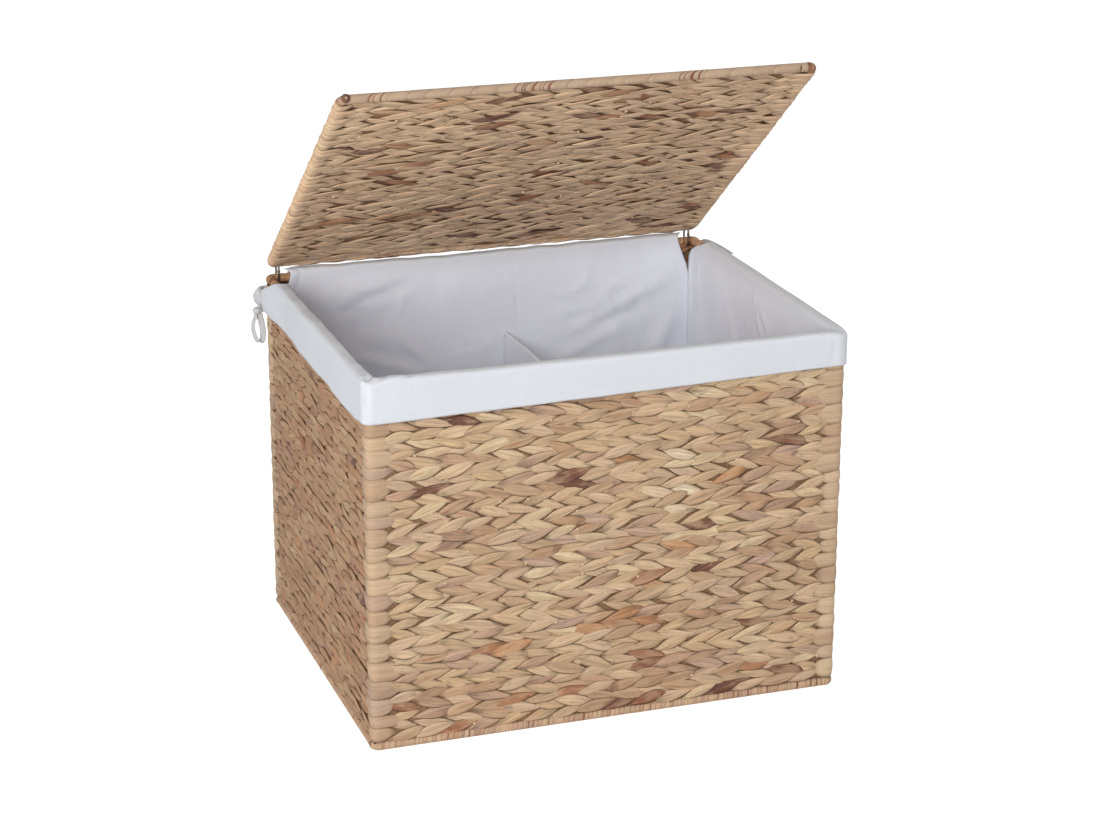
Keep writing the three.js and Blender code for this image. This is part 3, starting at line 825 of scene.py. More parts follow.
class LeafWorks:
    """The leaf templates that the body and the lid share."""

    def __init__(self) -> None:
        """Makes the templates."""
        self.lobes = self.templates("leaf_lobe", (
            LeafLobe(),
            LeafLobe(bow=0.07, skew=0.16),
            LeafLobe(bow=-0.07, fullness=2.3, skew=-0.16, crown=0.65 * MM),
            LeafLobe(ridge=0.2 * MM, fullness=2.1, skew=0.26),
            LeafLobe(ridge=-0.16 * MM, bow=0.04, point=1.3, crown=0.9 * MM),
            LeafLobe(bow=-0.1, fullness=1.75, point=1.0, crown=0.7 * MM),
        ))
        self.corners = self.templates("corner_strip", (
            BentStrip(),
            BentStrip(36 * MM, 22 * MM, 1.6 * MM),
            BentStrip(24 * MM, 32 * MM, -1.4 * MM, 0.8 * MM),
            BentStrip(20 * MM, 20 * MM, crown=1.2 * MM),
        ))
        self.edges = self.templates("edge_strip", (
            BentStrip(22 * MM, 22 * MM, 2.0 * MM, 1.0 * MM, math.pi, 6.0 * MM, 12.5 * MM),
            BentStrip(29 * MM, 20 * MM, -2.6 * MM, 1.3 * MM, math.pi, 6.0 * MM, 12.5 * MM),
            BentStrip(17 * MM, 26 * MM, 3.4 * MM, 0.8 * MM, math.pi, 5.9 * MM, 12.5 * MM),
        ))
        self.turn = WrapTurn().template("wrap_turn")
        self.sleek_turn = WrapTurn(radius=5.35 * MM, swell=0.05 * MM).template("sleek_turn")
        self.stub = self.stake_stub()

    @staticmethod
    def templates(name: str, shapes: Sequence[LeafLobe | BentStrip]) -> list[Mesh]:
        """A template of each shape."""
        return [shape.template(f"{name}_{number}") for number, shape in enumerate(shapes)]

    @staticmethod
    def stake_stub() -> Mesh:
        """The pale square end of a wrapped stake that shows through the weave."""
        bm = broken_box((3.0 * MM, 3.4 * MM, 2.6 * MM), 0.7 * MM, 1)
        strand = bm.loops.layers.uv["Strand"]
        for face in bm.faces:
            for loop in face.loops:
                loop[strand].uv = (0.4 + 40 * loop.vert.co.x, 0.5 + 60 * loop.vert.co.y)
        return kept_mesh("stake_stub", bm)

    def clear(self) -> None:
        """Removes the templates, which no piece uses."""
        for mesh in (*self.lobes, *self.corners, *self.edges, self.turn, self.sleek_turn, self.stub):
            bpy.data.meshes.remove(mesh)


class TintPicker:
    """Picks the tints of strands: light tan in clusters, and a few orange, reddish and purplish ones."""

    lightest_dark = 0.84
    darkest_light = 0.82

    def __init__(self, seed: int, dark_share: float) -> None:
        """Starts a seeded series with its share of orange, red-brown and purple-brown strands."""
        self.random = Random(seed)
        self.dark_share = dark_share

    def pick(self, place: Vector | None = None) -> float:
        """The next tint, 0 to 1, by the cluster at the strand's place if that is given."""
        chance = self.random.random()
        tone = self.random.uniform(0.0, self.darkest_light)
        if chance < self.dark_share:
            return self.lightest_dark + (1 - self.lightest_dark) * tone / self.darkest_light
        if place is None:
            return tone
        cluster = 0.42 + 0.75 * wander(*place * 11)
        return min(self.darkest_light, max(0.0, 0.68 * tone + 0.32 * cluster))


@dataclass
class WeaveField:
    """Rows of lobes over one face of a panel. X runs along the rows, Y across them and Z outwards."""

    place: Matrix
    low_along: float
    high_along: float
    low_up: float
    high_up: float
    seed: int
    lean: float = math.radians(11.5)
    quiet_above: float = 1.0
    dark_share: float = 0.085
    lobe_width: float = 15.8 * MM
    surface: float = 2.5 * MM
    layer: float = 1.15 * MM
    untidy: float = 1.0
    missing: float = 0.0
    row_pitch: float = 11.1 * MM
    stake_pitch: float = 33.4 * MM
    lobe_length: float = 60.0 * MM
    end_reach: float = 7 * MM
    roll: float = math.radians(6)
    row_drift: float = 0.26
    slip: float = 2.2 * MM
    unevenness: float = 0.7 * MM
    waviness: float = 1.5 * MM
    stub_share: float = 0.05
    row_leans: Range = (0.65, 1.45)
    leans: Range = (0.6, 1.35)
    lengths: Range = (0.82, 1.12)
    widths: Range = (0.84, 1.08)
    rolls: Range = (-1.0, 1.4)

    def add_to(self, mesh: StrandMesh, works: LeafWorks) -> None:
        """Adds the lobes, and the pale stake ends that show between some of them.

        Args:
            mesh: The mesh that they go into.
            works: The leaf templates.
        """
        random = Random(self.seed)
        tints = TintPicker(self.seed + 1, self.dark_share)
        rows = max(1, round((self.high_up - self.low_up) / self.row_pitch))
        pitch_up = (self.high_up - self.low_up) / rows
        count = max(1, round((self.high_along - self.low_along) / self.stake_pitch))
        pitch_along = (self.high_along - self.low_along) / count
        for row in range(rows):
            slant = Slant.RISING if row % 2 == 0 else Slant.FALLING
            drift = random.uniform(-self.row_drift, self.row_drift) * pitch_along * self.untidy
            up = self.low_up + (row + 0.5) * pitch_up
            quiet = 0.25 if up > self.quiet_above else 1.0
            row_lean = random.uniform(*self.row_leans)
            for number in range(count):
                from_end = min(number, count - 1 - number)
                shift = drift * min(1.0, from_end / 2)
                shift += random.uniform(-self.slip, self.slip) * self.untidy
                along = self.low_along + (number + 0.5) * pitch_along + shift
                length = self.lobe_length * random.uniform(*self.lengths)
                reach = min(along - self.low_along, self.high_along - along) + self.end_reach
                width = self.lobe_width * random.uniform(*self.widths)
                lean = slant.value * self.lean * row_lean * random.uniform(*self.leans)
                roll = self.roll * random.uniform(*self.rolls) * quiet
                layer = self.layer * (random.uniform(0, 1) + 0.1 * slant.value) * quiet
                flip = random.choice((-1, 1))
                level = up + random.uniform(-self.unevenness, self.unevenness) * self.untidy
                level += self.waviness * wander(along * 9, up * 14, self.seed) * self.untidy
                shape = random.choice(works.lobes)
                tint = tints.pick(self.place @ Vector((along, up, 0)))
                stub = random.random() < self.stub_share
                if random.random() < self.missing:
                    continue
                size = stretched(flip * min(length, 2 * reach), width, 0.8 + 0.2 * quiet)
                spot = self.place @ moved(along, level, self.surface + layer)
                mesh.add(shape, spot @ turned(lean, "Z") @ turned(roll, "X") @ size, tint)
                if stub:
                    spot = self.place @ moved(along + pitch_along / 2, level, self.surface + 0.9 * MM)
                    mesh.add(works.stub, spot @ turned(lean, "Z"), 0.05)


# ---------------------------------------------------------------- body


@dataclass
class BasketBody:
    """The woven walls and floor, and the plain strips round the four corner posts."""

    works: LeafWorks
    wardrobe: Wardrobe
    end_x: float = POST_X - 5.8 * MM
    end_y: float = POST_Y - 5.8 * MM
    wall_low: float = 11.6 * MM
    wall_high: float = 420.6 * MM
    weave_high: float = 422.4 * MM
    inside_low: float = 366 * MM
    quiet_above: float = 385 * MM
    corner_inset: float = 11 * MM
    core_half: float = 2.0 * MM
    floor_z: float = 5.5 * MM
    strip_base: float = 4.4 * MM
    strip_radius: float = 7.2 * MM
    strip_height: float = 13 * MM
    strip_overlap: float = 2.4 * MM
    strips: Range = (13.0 * MM, 26.0 * MM)
    post_core: Range = (-4.2 * MM, 1.4 * MM)

    def build(self) -> None:
        """Builds every piece of the body."""
        for seed, side in enumerate((Side.FRONT, Side.BACK, Side.LEFT, Side.RIGHT), start=11):
            self.wall(side, seed)
        self.floor()
        for corner in Corner:
            self.corner(corner)

    def wall(self, side: Side, seed: int) -> None:
        """One woven wall.

        Args:
            side: Which side it is on.
            seed: The seed of its untidiness.
        """
        name = side.name.lower()
        across = bool(side.value[0])
        half, distance = (self.end_y, POST_X) if across else (self.end_x, POST_Y)
        place = moved(*side.out * distance) @ facing(side.ahead, (0, 0, 1), side.out)
        mesh = StrandMesh()
        outside = half - self.corner_inset
        WeaveField(place, -outside, outside, self.wall_low, self.weave_high, seed,
                   math.radians(6.5 if across else 12.5), self.quiet_above).add_to(mesh, self.works)
        # Painted shade: the inner face's lobes, seen in the slits, are mostly given dark tints.
        WeaveField(place @ turned(math.pi, "Y"), -half, half, self.inside_low, self.weave_high, seed + 60,
                   quiet_above=0.0, dark_share=0.85).add_to(mesh, self.works)
        mesh.add_core((-half, self.wall_low, -self.core_half),
                      (half, self.wall_high, self.core_half), place)
        # The left and right walls get the leaf with painted shade and warm bounce.
        leaf = self.wardrobe.side_shade_leaf if across else self.wardrobe.leaf
        made = mesh.finish(f"weave_{name}", leaf, self.wardrobe.core)
        new_piece(made, Body.BASKET, f"woven_wall_{name}")

    def floor(self) -> None:
        """The woven floor, with its lobes on the underside."""
        place = moved(0, 0, self.floor_z) @ turned(math.pi, "X")
        half_x, half_y = self.end_x - 4 * MM, self.end_y - 1 * MM
        mesh = StrandMesh()
        WeaveField(place, -half_x, half_x, -half_y, half_y, 15, surface=1.6 * MM,
                   layer=0.5 * MM).add_to(mesh, self.works)
        mesh.add_core((-self.end_x, -self.end_y, -4.2 * MM), (self.end_x, self.end_y, 0.4 * MM), place)
        made = mesh.finish("weave_floor", self.wardrobe.leaf, self.wardrobe.core)
        new_piece(made, Body.BASKET, "woven_floor")

    def corner(self, corner: Corner) -> None:
        """The strips round one corner post, over a core."""
        name = corner.name.lower()
        sign_x, sign_y = corner.value
        random = Random(20 + 3 * sign_x + sign_y)
        tints = TintPicker(40 + 3 * sign_x + sign_y, 0.04)
        inward = self.strip_radius - self.strip_base
        axis = moved(sign_x * (POST_X - inward), sign_y * (POST_Y - inward))
        mirror = stretched(sign_x, -sign_y, 1)
        mesh = StrandMesh()
        level = self.wall_low
        while level < self.weave_high - 4 * MM:
            tall = min(random.uniform(*self.strips), self.weave_high - level)
            overlap = 0.0 if level < self.wall_low + 2 * MM else self.strip_overlap
            grown = stretched(1 + random.uniform(0, 0.03), 1 + random.uniform(0, 0.03),
                              (tall + overlap) / self.strip_height)
            place = axis @ moved(0, 0, level + tall / 2) @ mirror @ grown
            mesh.add(random.choice(self.works.corners), place, 0.16 + 0.66 * tints.pick())
            level += tall
        ends_x, ends_y = (sorted(sign * (post + end) for end in self.post_core)
                          for sign, post in ((sign_x, POST_X), (sign_y, POST_Y)))
        mesh.add_core((ends_x[0], ends_y[0], self.wall_low), (ends_x[1], ends_y[1], self.weave_high),
                      Matrix.Identity(4))
        made = mesh.finish(f"corner_wrap_{name}", self.wardrobe.corner_leaf, self.wardrobe.core)
        new_piece(made, Body.BASKET, f"corner_post_wrap_{name}")


@dataclass(frozen=True)
class WrapStyle:
    """How a rail is whipped: its turns' widths, lean and tones, and where dark bands are bound in."""

    widths: Range
    lean: float = 0.28
    thin_share: float = 0.0
    calm: float = 0.0
    sleek: bool = False
    bands: tuple[Range, ...] = ()
    dark_share: float = 0.03
    dark_turns: Range = (1.6 * MM, 2.8 * MM)
    light_turns: Range = (2.0 * MM, 7.0 * MM)
    thin_turns: Range = (0.8 * MM, 1.7 * MM)
    least_turn: float = 2.0 * MM

    def turns(self, length: float, seed: int) -> list[tuple[float, float, float]]:
        """Divides a rail into turns.

        Args:
            length: The rail's length.
            seed: The seed of its untidiness.

        Returns:
            The middle, width and tint of each turn.
        """
        random = Random(seed)
        tints = TintPicker(seed + 50, self.dark_share)
        made: list[tuple[float, float, float]] = []
        laid = 0.0
        dark = False
        while laid < length - 1e-6:
            banded = any(low <= laid / length < high for low, high in self.bands)
            width = random.uniform(*self.widths)
            tint = 0.45 + (tints.pick() - 0.45) * (1 - self.calm)
            thin = random.random() < self.thin_share
            if banded:
                dark = not dark
                width = random.uniform(*(self.dark_turns if dark else self.light_turns))
                tint = random.choice((0.88, 0.95, 0.98)) if dark else 0.1 + 0.4 * tint
            elif thin:
                width = random.uniform(*self.thin_turns)
                tint = random.uniform(0.92, 0.985)
            if length - laid - width < self.least_turn:
                width = length - laid
            made.append((laid + width / 2, width, tint))
            laid += width
        return made


@dataclass
class RailSet:
    """Four whipped rails and their four bound corners: the base, the rim or the lid."""

    name: str
    works: LeafWorks
    material: Material
    body: Body
    place: Matrix
    side_x: float
    front_y: float
    back_y: float
    seed: int
    style: WrapStyle
    front_style: WrapStyle | None = None
    corner_dark: float = 0.2
    corner_turns: int = 6
    bend_inset: float = 5.8 * MM
    bend_radius: float = 6.4 * MM
    bend_turn: float = 5.2 * MM

    def build(self) -> None:
        """Builds the rails and corners."""
        end = RAIL_RADIUS + 0.3 * MM
        x, low, high = self.side_x, self.front_y, self.back_y
        runs = (
            ("front", (end - x, low, 0), (x - end, low, 0), self.front_style or self.style),
            ("back", (end - x, high, 0), (x - end, high, 0), self.style),
            ("left", (-x, low + end, 0), (-x, high - end, 0), self.style),
            ("right", (x, low + end, 0), (x, high - end, 0), self.style),
        )
        for number, (name, start, finish, style) in enumerate(runs):
            self.rail(name, Vector(start), Vector(finish), style, self.seed + number)
        for number, corner in enumerate(Corner):
            self.corner(corner, self.seed + 10 + number)

    def rail(self, name: str, start: Vector, finish: Vector, style: WrapStyle, seed: int) -> None:
        """One rail, whipped from end to end with narrow turns of leaf.

        Args:
            name: Its side.
            start: Its first end in the set's frame.
            finish: Its last end in the set's frame.
            style: How it is whipped.
            seed: The seed of its untidiness.
        """
        random = Random(seed + 20)
        mesh = StrandMesh()
        run = finish - start
        direction = run.normalized()
        aim = aimed(direction)
        template = self.works.sleek_turn if style.sleek else self.works.turn
        along_x = direction.x != 0
        lean = style.lean
        for middle, width, tint in style.turns(run.length, seed):
            lean += (style.lean * random.uniform(0.6, 1.4) - lean) * 0.5
            held = lean * smooth_step(2 * MM, 14 * MM, min(middle, run.length - middle))
            shear = Matrix.Identity(4)
            shear[2][0] = -held * (1.2 if style.sleek else 0.5) if along_x else held
            shear[2][1] = held if along_x else 0.0
            girth = random.uniform(0.985, 1.015)
            spot = self.place @ moved(*start + direction * middle)
            mesh.add(template, spot @ aim @ shear @ stretched(girth, girth, width * 1.03), tint)
        made = mesh.finish(f"{self.name}_whipping_{name}", self.material)
        new_piece(made, self.body, f"{self.name}_rail_whipping_{name}")

    def corner(self, corner: Corner, seed: int) -> None:
        """One bound corner: turns of leaf that fan round the bend.

        Args:
            corner: Which corner.
            seed: The seed of its untidiness.
        """
        random = Random(seed)
        sign_x, sign_y = corner.value
        name = corner.name.lower()
        axis = Vector((sign_x * self.side_x, self.front_y if sign_y < 0 else self.back_y, 0))
        inner = Vector((-sign_x, -sign_y, 0)) * self.bend_inset
        capped = self.body is Body.LID and corner is Corner.FRONT_RIGHT
        mesh = StrandMesh()
        for number in range(self.corner_turns):
            angle = math.pi / 2 * (number + 0.5) / self.corner_turns
            direction = Vector((sign_x * math.cos(angle), -sign_y * math.sin(angle), 0))
            outward = Vector((sign_x * math.sin(angle), sign_y * math.cos(angle), 0))
            dark = capped or random.random() < self.corner_dark
            tint = random.uniform(0.9, 0.98) if dark else random.uniform(0.2, 0.8)
            spot = self.place @ moved(*axis + inner + outward * self.bend_radius)
            mesh.add(self.works.turn, spot @ aimed(direction) @ stretched(0.99, 0.99, self.bend_turn), tint)
        if self.body is Body.LID and corner is Corner.FRONT_LEFT:
            self.stitch(mesh, axis)
        made = mesh.finish(f"{self.name}_corner_{name}", self.material)
        new_piece(made, self.body, f"{self.name}_corner_binding_{name}")

    def stitch(self, mesh: StrandMesh, axis: Vector) -> None:
        """Adds the round stitched knot with its pale heart, that the lid's front left corner has."""
        spot = self.place @ moved(*axis + Vector((3.0, -4.4, -0.6)) * MM) @ aimed(Vector((0.1, -1, -0.2)))
        for size, depth, tint in ((0.95, 5.0 * MM, 0.99), (0.7, 6.2 * MM, 0.98), (0.3, 7.2 * MM, 0.0)):
            mesh.add(self.works.turn, spot @ stretched(size, size, depth), tint)


@dataclass
class Lid:
    """The woven lid between its rails: lobes on both faces of a core, and strips round the side rails."""

    works: LeafWorks
    wardrobe: Wardrobe
    core_half: float = 1.9 * MM
    room: float = 6.0 * MM
    side_room: float = 6.2 * MM
    strip_height: float = 12.5 * MM
    strip_overlap: float = 2.6 * MM
    strips: Range = (9.0 * MM, 13.5 * MM)
    hinge_lobes: int = 15
    hinge_pitch: float = 33.4 * MM
    hinge_rows: tuple[Range, ...] = ((-0.75, 0.07), (0.1, -0.08), (0.95, 0.06))

    def build(self) -> None:
        """Builds the lid's weave."""
        place = lid_frame()
        half, low, high = LID_SIDE_X - self.side_room, -LID_REACH + self.room, -self.room
        mesh = StrandMesh()
        over = place @ turned(math.pi, "X")
        WeaveField(over, -half, half, -high, -low, 31, math.radians(17), lobe_width=16.4 * MM,
                   layer=1.6 * MM, untidy=1.4, dark_share=0.1, missing=0.006).add_to(mesh, self.works)
        WeaveField(place, -half, half, low, high, 32, math.radians(13),
                   dark_share=0.1).add_to(mesh, self.works)
        self.wrap_sides(mesh, place, low, high)
        self.cover_hinge_rail(mesh, over)
        mesh.add_core((-half, low, -self.core_half), (half, high, self.core_half), place)
        # The lid's leaf carries painted light.
        made = mesh.finish("lid_weave", self.wardrobe.lid_painted_light_leaf, self.wardrobe.core)
        new_piece(made, Body.LID, "lid_woven_panel")

    def wrap_sides(self, mesh: StrandMesh, place: Matrix, low: float, high: float) -> None:
        """Adds the strips in which the rows turn back round the two side rails.

        Args:
            mesh: The lid's mesh.
            place: The lid's frame.
            low: The Y of the first row's edge.
            high: The Y of the last row's edge.
        """
        random = Random(33)
        tints = TintPicker(34, 0.06)
        for side in (-1, 1):
            level = low
            while level < high - 5 * MM:
                tall = min(random.uniform(*self.strips), high - level)
                grown = stretched(1, 1, (tall + self.strip_overlap) / self.strip_height)
                spot = place @ moved(side * LID_SIDE_X, level + tall / 2)
                spot = spot @ facing((side, 0, 0), (0, 0, 1), (0, 1, 0))
                mesh.add(random.choice(self.works.edges), spot @ grown, tints.pick())
                level += tall

    def cover_hinge_rail(self, mesh: StrandMesh, over: Matrix) -> None:
        """Adds lobes along the hinge rail's underside, clear of the two links.

        Args:
            mesh: The lid's mesh.
            over: The lid's frame with Z out of its underside.
        """
        random = Random(35)
        tints = TintPicker(36, 0.1)
        for angle, lean in self.hinge_rows:
            for number in range(self.hinge_lobes):
                along = (number - self.hinge_lobes // 2 + random.uniform(-0.12, 0.12)) * self.hinge_pitch
                spot = over @ turned(angle, "X") @ moved(along, 0, 4.9 * MM) @ turned(lean, "Z")
                size = stretched(46 * MM * random.uniform(0.9, 1.1), 7.6 * MM, 0.5)
                mesh.add(random.choice(self.works.lobes), spot @ size, tints.pick())


# ---------------------------------------------------------------- links


@dataclass
class HingeLinks:
    """A loop of bent wire at each rear corner, with its ends twisted round it."""

    material: Material
    reach: float = 7.39 * MM
    wire: float = 1.3 * MM
    sections: int = 10
    steps: int = 12
    coil_count: int = 3
    coil_pitch: float = 1.15 * MM
    coil_radius: float = 1.55 * MM
    coil_wire: float = 0.5 * MM

    def build(self) -> None:
        """Builds both links."""
        for side, name in ((-1, "left"), (1, "right")):
            self.link(side, name)

    def link(self, side: int, name: str) -> None:
        """One link.

        Args:
            side: -1 for the left one, 1 for the right one.
            name: Its name in its node.
        """
        low = Vector((side * LINK_X, POST_Y, RIM_Z))
        high = Vector((side * LINK_X, POST_Y, LID_PIVOT.z))
        bm = bmesh.new()
        ring = bmesh.ops.create_circle(bm, segments=self.sections, radius=self.wire)["verts"]
        bmesh.ops.translate(bm, vec=low + Vector((0, self.reach, 0)), verts=ring)
        edges = bm.edges[:]
        for start, end in ((low, high), (high, low)):
            edges = self.turn(bm, self.carry(bm, edges, end - start), end)
        bmesh.ops.remove_doubles(bm, verts=bm.verts[:], dist=1e-6)
        for number in range(self.coil_count):
            level = (number - self.coil_count // 2) * self.coil_pitch
            self.coil(bm, (low + high) / 2 + Vector((0, -self.reach, level)))
        made = kept_mesh(f"wire_link_{name}", bm, self.material)
        new_piece(made, Body.LINKS, f"hinge_link_{name}")

    @staticmethod
    def carry(bm: BMesh, edges: Edges, way: Vector) -> Edges:
        """Extrudes a ring of edges straight on and returns the new ring."""
        made = bmesh.ops.extrude_edge_only(bm, edges=edges)["geom"]
        bmesh.ops.translate(bm, vec=way, verts=of_kind(made, BMVert))
        return of_kind(made, BMEdge)

    def turn(self, bm: BMesh, edges: Edges, centre: Vector) -> Edges:
        """Spins a ring of edges half round a rail and returns the last ring."""
        spun = bmesh.ops.spin(bm, geom=edges, cent=centre, axis=(1, 0, 0), angle=math.pi, steps=self.steps)
        return of_kind(spun["geom_last"], BMEdge)

    def coil(self, bm: BMesh, spot: Vector) -> None:
        """Adds one close turn of the wire's end round its standing part, with its centre at the spot."""
        ring = bmesh.ops.create_circle(bm, segments=6, radius=self.coil_wire)["verts"]
        bmesh.ops.rotate(bm, cent=(0, 0, 0), matrix=Matrix.Rotation(math.pi / 2, 3, "X"), verts=ring)
        bmesh.ops.translate(bm, vec=spot + Vector((self.coil_radius, 0, 0)), verts=ring)
        edges = list(dict.fromkeys(edge for vertex in ring for edge in vertex.link_edges))
        bmesh.ops.spin(bm, geom=edges, cent=spot, axis=(0.12, 0.05, 1), angle=2 * math.pi, steps=self.steps,
                       use_merge=True)


# ---------------------------------------------------------------- liner


def ring_point(side: Side, share: float, half_x: float, half_y: float,
               radius: float) -> tuple[Vector, Vector]:
    """A point on a rounded rectangle, along one side from corner to corner.

    Args:
        side: Which side.
        share: 0 at the corner where the side starts, going round anticlockwise, to 1 at its end.
        half_x: Half the rectangle's width.
        half_y: Half its depth.
        radius: Its corner radius.

    Returns:
        The point and its outward direction.
    """
    half, distance = (half_y, half_x) if side.value[0] else (half_x, half_y)
    half -= radius
    bend = math.pi / 4 * radius
    run = share * 2 * (half + bend) - bend
    straight = min(max(run, 0.0), 2 * half)
    angle = (run - straight) / radius
    normal = side.out * math.cos(angle) + side.ahead * math.sin(angle)
    return side.out * (distance - radius) + side.ahead * (straight - half) + normal * radius, normal


@dataclass(frozen=True)
class LinerCut:
    """Where the liner lies: its inner wall, its fold over the rim and its cuff."""

    inner_x: float = 272.0 * MM
    inner_y: float = 219.5 * MM
    span: float = 15.0 * MM  # from the inner wall to the cuff
    inner_radius: float = 5.0 * MM
    outer_radius: float = 11.0 * MM
    foot_z: float = 11.4 * MM
    top_z: float = 440.6 * MM
    hem_z: float = 393.0 * MM
    fold_radius: float = 4.2 * MM

    @property
    def shoulder(self) -> float:
        """The height at which the fold starts."""
        return self.top_z - self.fold_radius

    @property
    def length(self) -> float:
        """Metres of cloth from the foot to the hem."""
        over = math.pi * self.fold_radius + self.span - 2 * self.fold_radius
        return self.shoulder - self.foot_z + over + self.shoulder - self.hem_z

    def profile(self, run: float) -> tuple[float, float]:
        """The cloth's path up the inner wall, over the rim and down the cuff.

        Args:
            run: Metres along the cloth from its foot.

        Returns:
            The share of the way from the inner wall to the cuff, and the height.
        """
        radius, span, shoulder = self.fold_radius, self.span, self.shoulder
        wall = shoulder - self.foot_z
        corner = math.pi / 2 * radius
        flat = span - 2 * radius
        if run <= wall:
            return 0.0, self.foot_z + run
        run -= wall
        if run <= corner:
            angle = run / radius
            return radius * (1 - math.cos(angle)) / span, shoulder + radius * math.sin(angle)
        run -= corner
        if run <= flat:
            return (radius + run) / span, self.top_z
        run -= flat
        if run <= corner:
            angle = run / radius
            return (radius + flat + radius * math.sin(angle)) / span, shoulder + radius * math.cos(angle)
        return 1.0, shoulder - (run - corner)


@dataclass
class ClothSurface:
    """A grid of cloth laid out by a rule, with a UV map in metres and a thickness."""

    name: str
    width: float
    length: float
    rule: Callable[[float, float], Vector]
    material: Material
    spacing: float = 5.0 * MM
    column_spacing: float = 3.4 * MM
    fine_from: float = 0.0
    fine_spacing: float = 2.2 * MM
    thickness: float = 0.9 * MM

    def build(self, node: str) -> Piece:
        """Builds the cloth.

        Args:
            node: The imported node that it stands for.

        Returns:
            The piece.
        """
        columns = max(2, round(self.width / self.column_spacing))
        coarse_length = self.fine_from or self.length
        coarse = max(2, round(coarse_length / self.spacing))
        fine = round((self.length - coarse_length) / self.fine_spacing)
        rows = coarse + fine

        def run_at(share: float) -> float:
            """The metres up the cloth of a share of the rows, which are finer past fine_from."""
            row = share * rows
            if row <= coarse or not fine:
                return row / coarse * coarse_length
            return coarse_length + (row - coarse) / fine * (self.length - coarse_length)

        bm = bmesh.new()
        bm.loops.layers.uv.new("Cloth")
        bmesh.ops.create_grid(bm, x_segments=columns, y_segments=rows, size=0.5, calc_uvs=True)
        cloth = bm.loops.layers.uv["Cloth"]
        for face in bm.faces:
            for loop in face.loops:
                loop[cloth].uv = (loop[cloth].uv[0] * self.width, run_at(loop[cloth].uv[1]))
        for vertex in bm.verts:
            vertex.co = self.rule(vertex.co.x + 0.5, run_at(vertex.co.y + 0.5))
        made = kept_mesh(self.name, bm, self.material, open_cloth=True)
        piece = new_piece(made, Body.BASKET, node)
        solid = piece.modifiers.new("cloth thickness", "SOLIDIFY")
        solid.thickness = self.thickness
        solid.offset = 0.0
        return piece


@dataclass(frozen=True)
class Crease:
    """A crease of an inner wall's cloth, between two places given in metres along the wall and up it."""

    start: Range
    end: Range
    height: float
    width: float

    def depth(self, along: float, level: float) -> float:
        """How far the crease stands out at a place along its wall and up it, in metres."""
        run_x, run_z = self.end[0] - self.start[0], self.end[1] - self.start[1]
        length = math.hypot(run_x, run_z)
        way_x, way_z = along - self.start[0], level - self.start[1]
        share = (way_x * run_x + way_z * run_z) / length ** 2
        aside = abs(way_x * run_z - way_z * run_x) / length
        if aside > 3 * self.width or share < -0.3 or share > 1.3:
            return 0.0
        taper = smooth_step(-0.25, 0.3, share) * smooth_step(1.25, 0.7, share)
        return self.height * taper * math.exp(-((aside / self.width) ** 2))


CREASES = {
    Side.BACK: (
        Crease((-0.226, 0.411), (-0.188, 0.430), -2.6 * MM, 5 * MM),
        Crease((-0.222, 0.419), (-0.180, 0.437), 2.2 * MM, 6 * MM),
        Crease((-0.180, 0.390), (-0.100, 0.411), -3.2 * MM, 8 * MM),
        Crease((-0.205, 0.392), (-0.120, 0.422), 3.2 * MM, 12 * MM),
        Crease((-0.212, 0.3825), (-0.155, 0.3775), -2.0 * MM, 4 * MM),
        Crease((-0.200, 0.352), (-0.120, 0.372), -2.4 * MM, 12 * MM),
        Crease((-0.175, 0.3205), (-0.098, 0.2938), 2.8 * MM, 6 * MM),
        Crease((-0.170, 0.332), (-0.090, 0.306), -2.6 * MM, 7 * MM),
        Crease((-0.128, 0.350), (-0.076, 0.300), 2.8 * MM, 8 * MM),
        Crease((0.010, 0.318), (-0.050, 0.310), 1.8 * MM, 4 * MM),
        Crease((0.014, 0.327), (-0.034, 0.329), 1.4 * MM, 3 * MM),
        Crease((0.090, 0.291), (0.185, 0.329), 2.8 * MM, 8 * MM),
        Crease((0.112, 0.329), (0.245, 0.388), 2.4 * MM, 7 * MM),
        Crease((0.150, 0.330), (0.250, 0.368), -2.2 * MM, 10 * MM),
        Crease((0.158, 0.380), (0.178, 0.290), 1.5 * MM, 6 * MM),
        Crease((0.222, 0.284), (0.258, 0.345), 6.5 * MM, 12 * MM),
        Crease((0.0318, 0.428), (0.0424, 0.300), -1.2 * MM, 1.6 * MM),
    ),
    Side.RIGHT: (
        Crease((-0.002, 0.436), (0.007, 0.409), 2.4 * MM, 3.5 * MM),
        Crease((0.007, 0.412), (-0.018, 0.409), 2.0 * MM, 3.5 * MM),
        Crease((-0.014, 0.411), (-0.040, 0.388), 2.4 * MM, 4 * MM),
        Crease((-0.004, 0.402), (-0.022, 0.372), 1.8 * MM, 4 * MM),
        Crease((0.090, 0.412), (0.030, 0.340), -2.8 * MM, 16 * MM),
    ),
}


@dataclass(frozen=True)
class SlitEdge:
    """A side panel's edge at its rear slit, which draws in towards the fold."""

    start_z: float = 412 * MM
    reach: float = 220.5 * MM
    drawn: float = 52.0 * MM
    power: float = 1.7
    flare: float = 0.0

    def at(self, level: float, top: float) -> float:
        """The edge's distance from the basket's middle at a height, below the fold's top."""
        drop = min(1.0, max(0.0, (level - self.start_z) / (top - self.start_z)))
        flared = self.flare * smooth_step(self.start_z, self.start_z - 20 * MM, level)
        return self.reach - self.drawn * drop ** self.power + flared


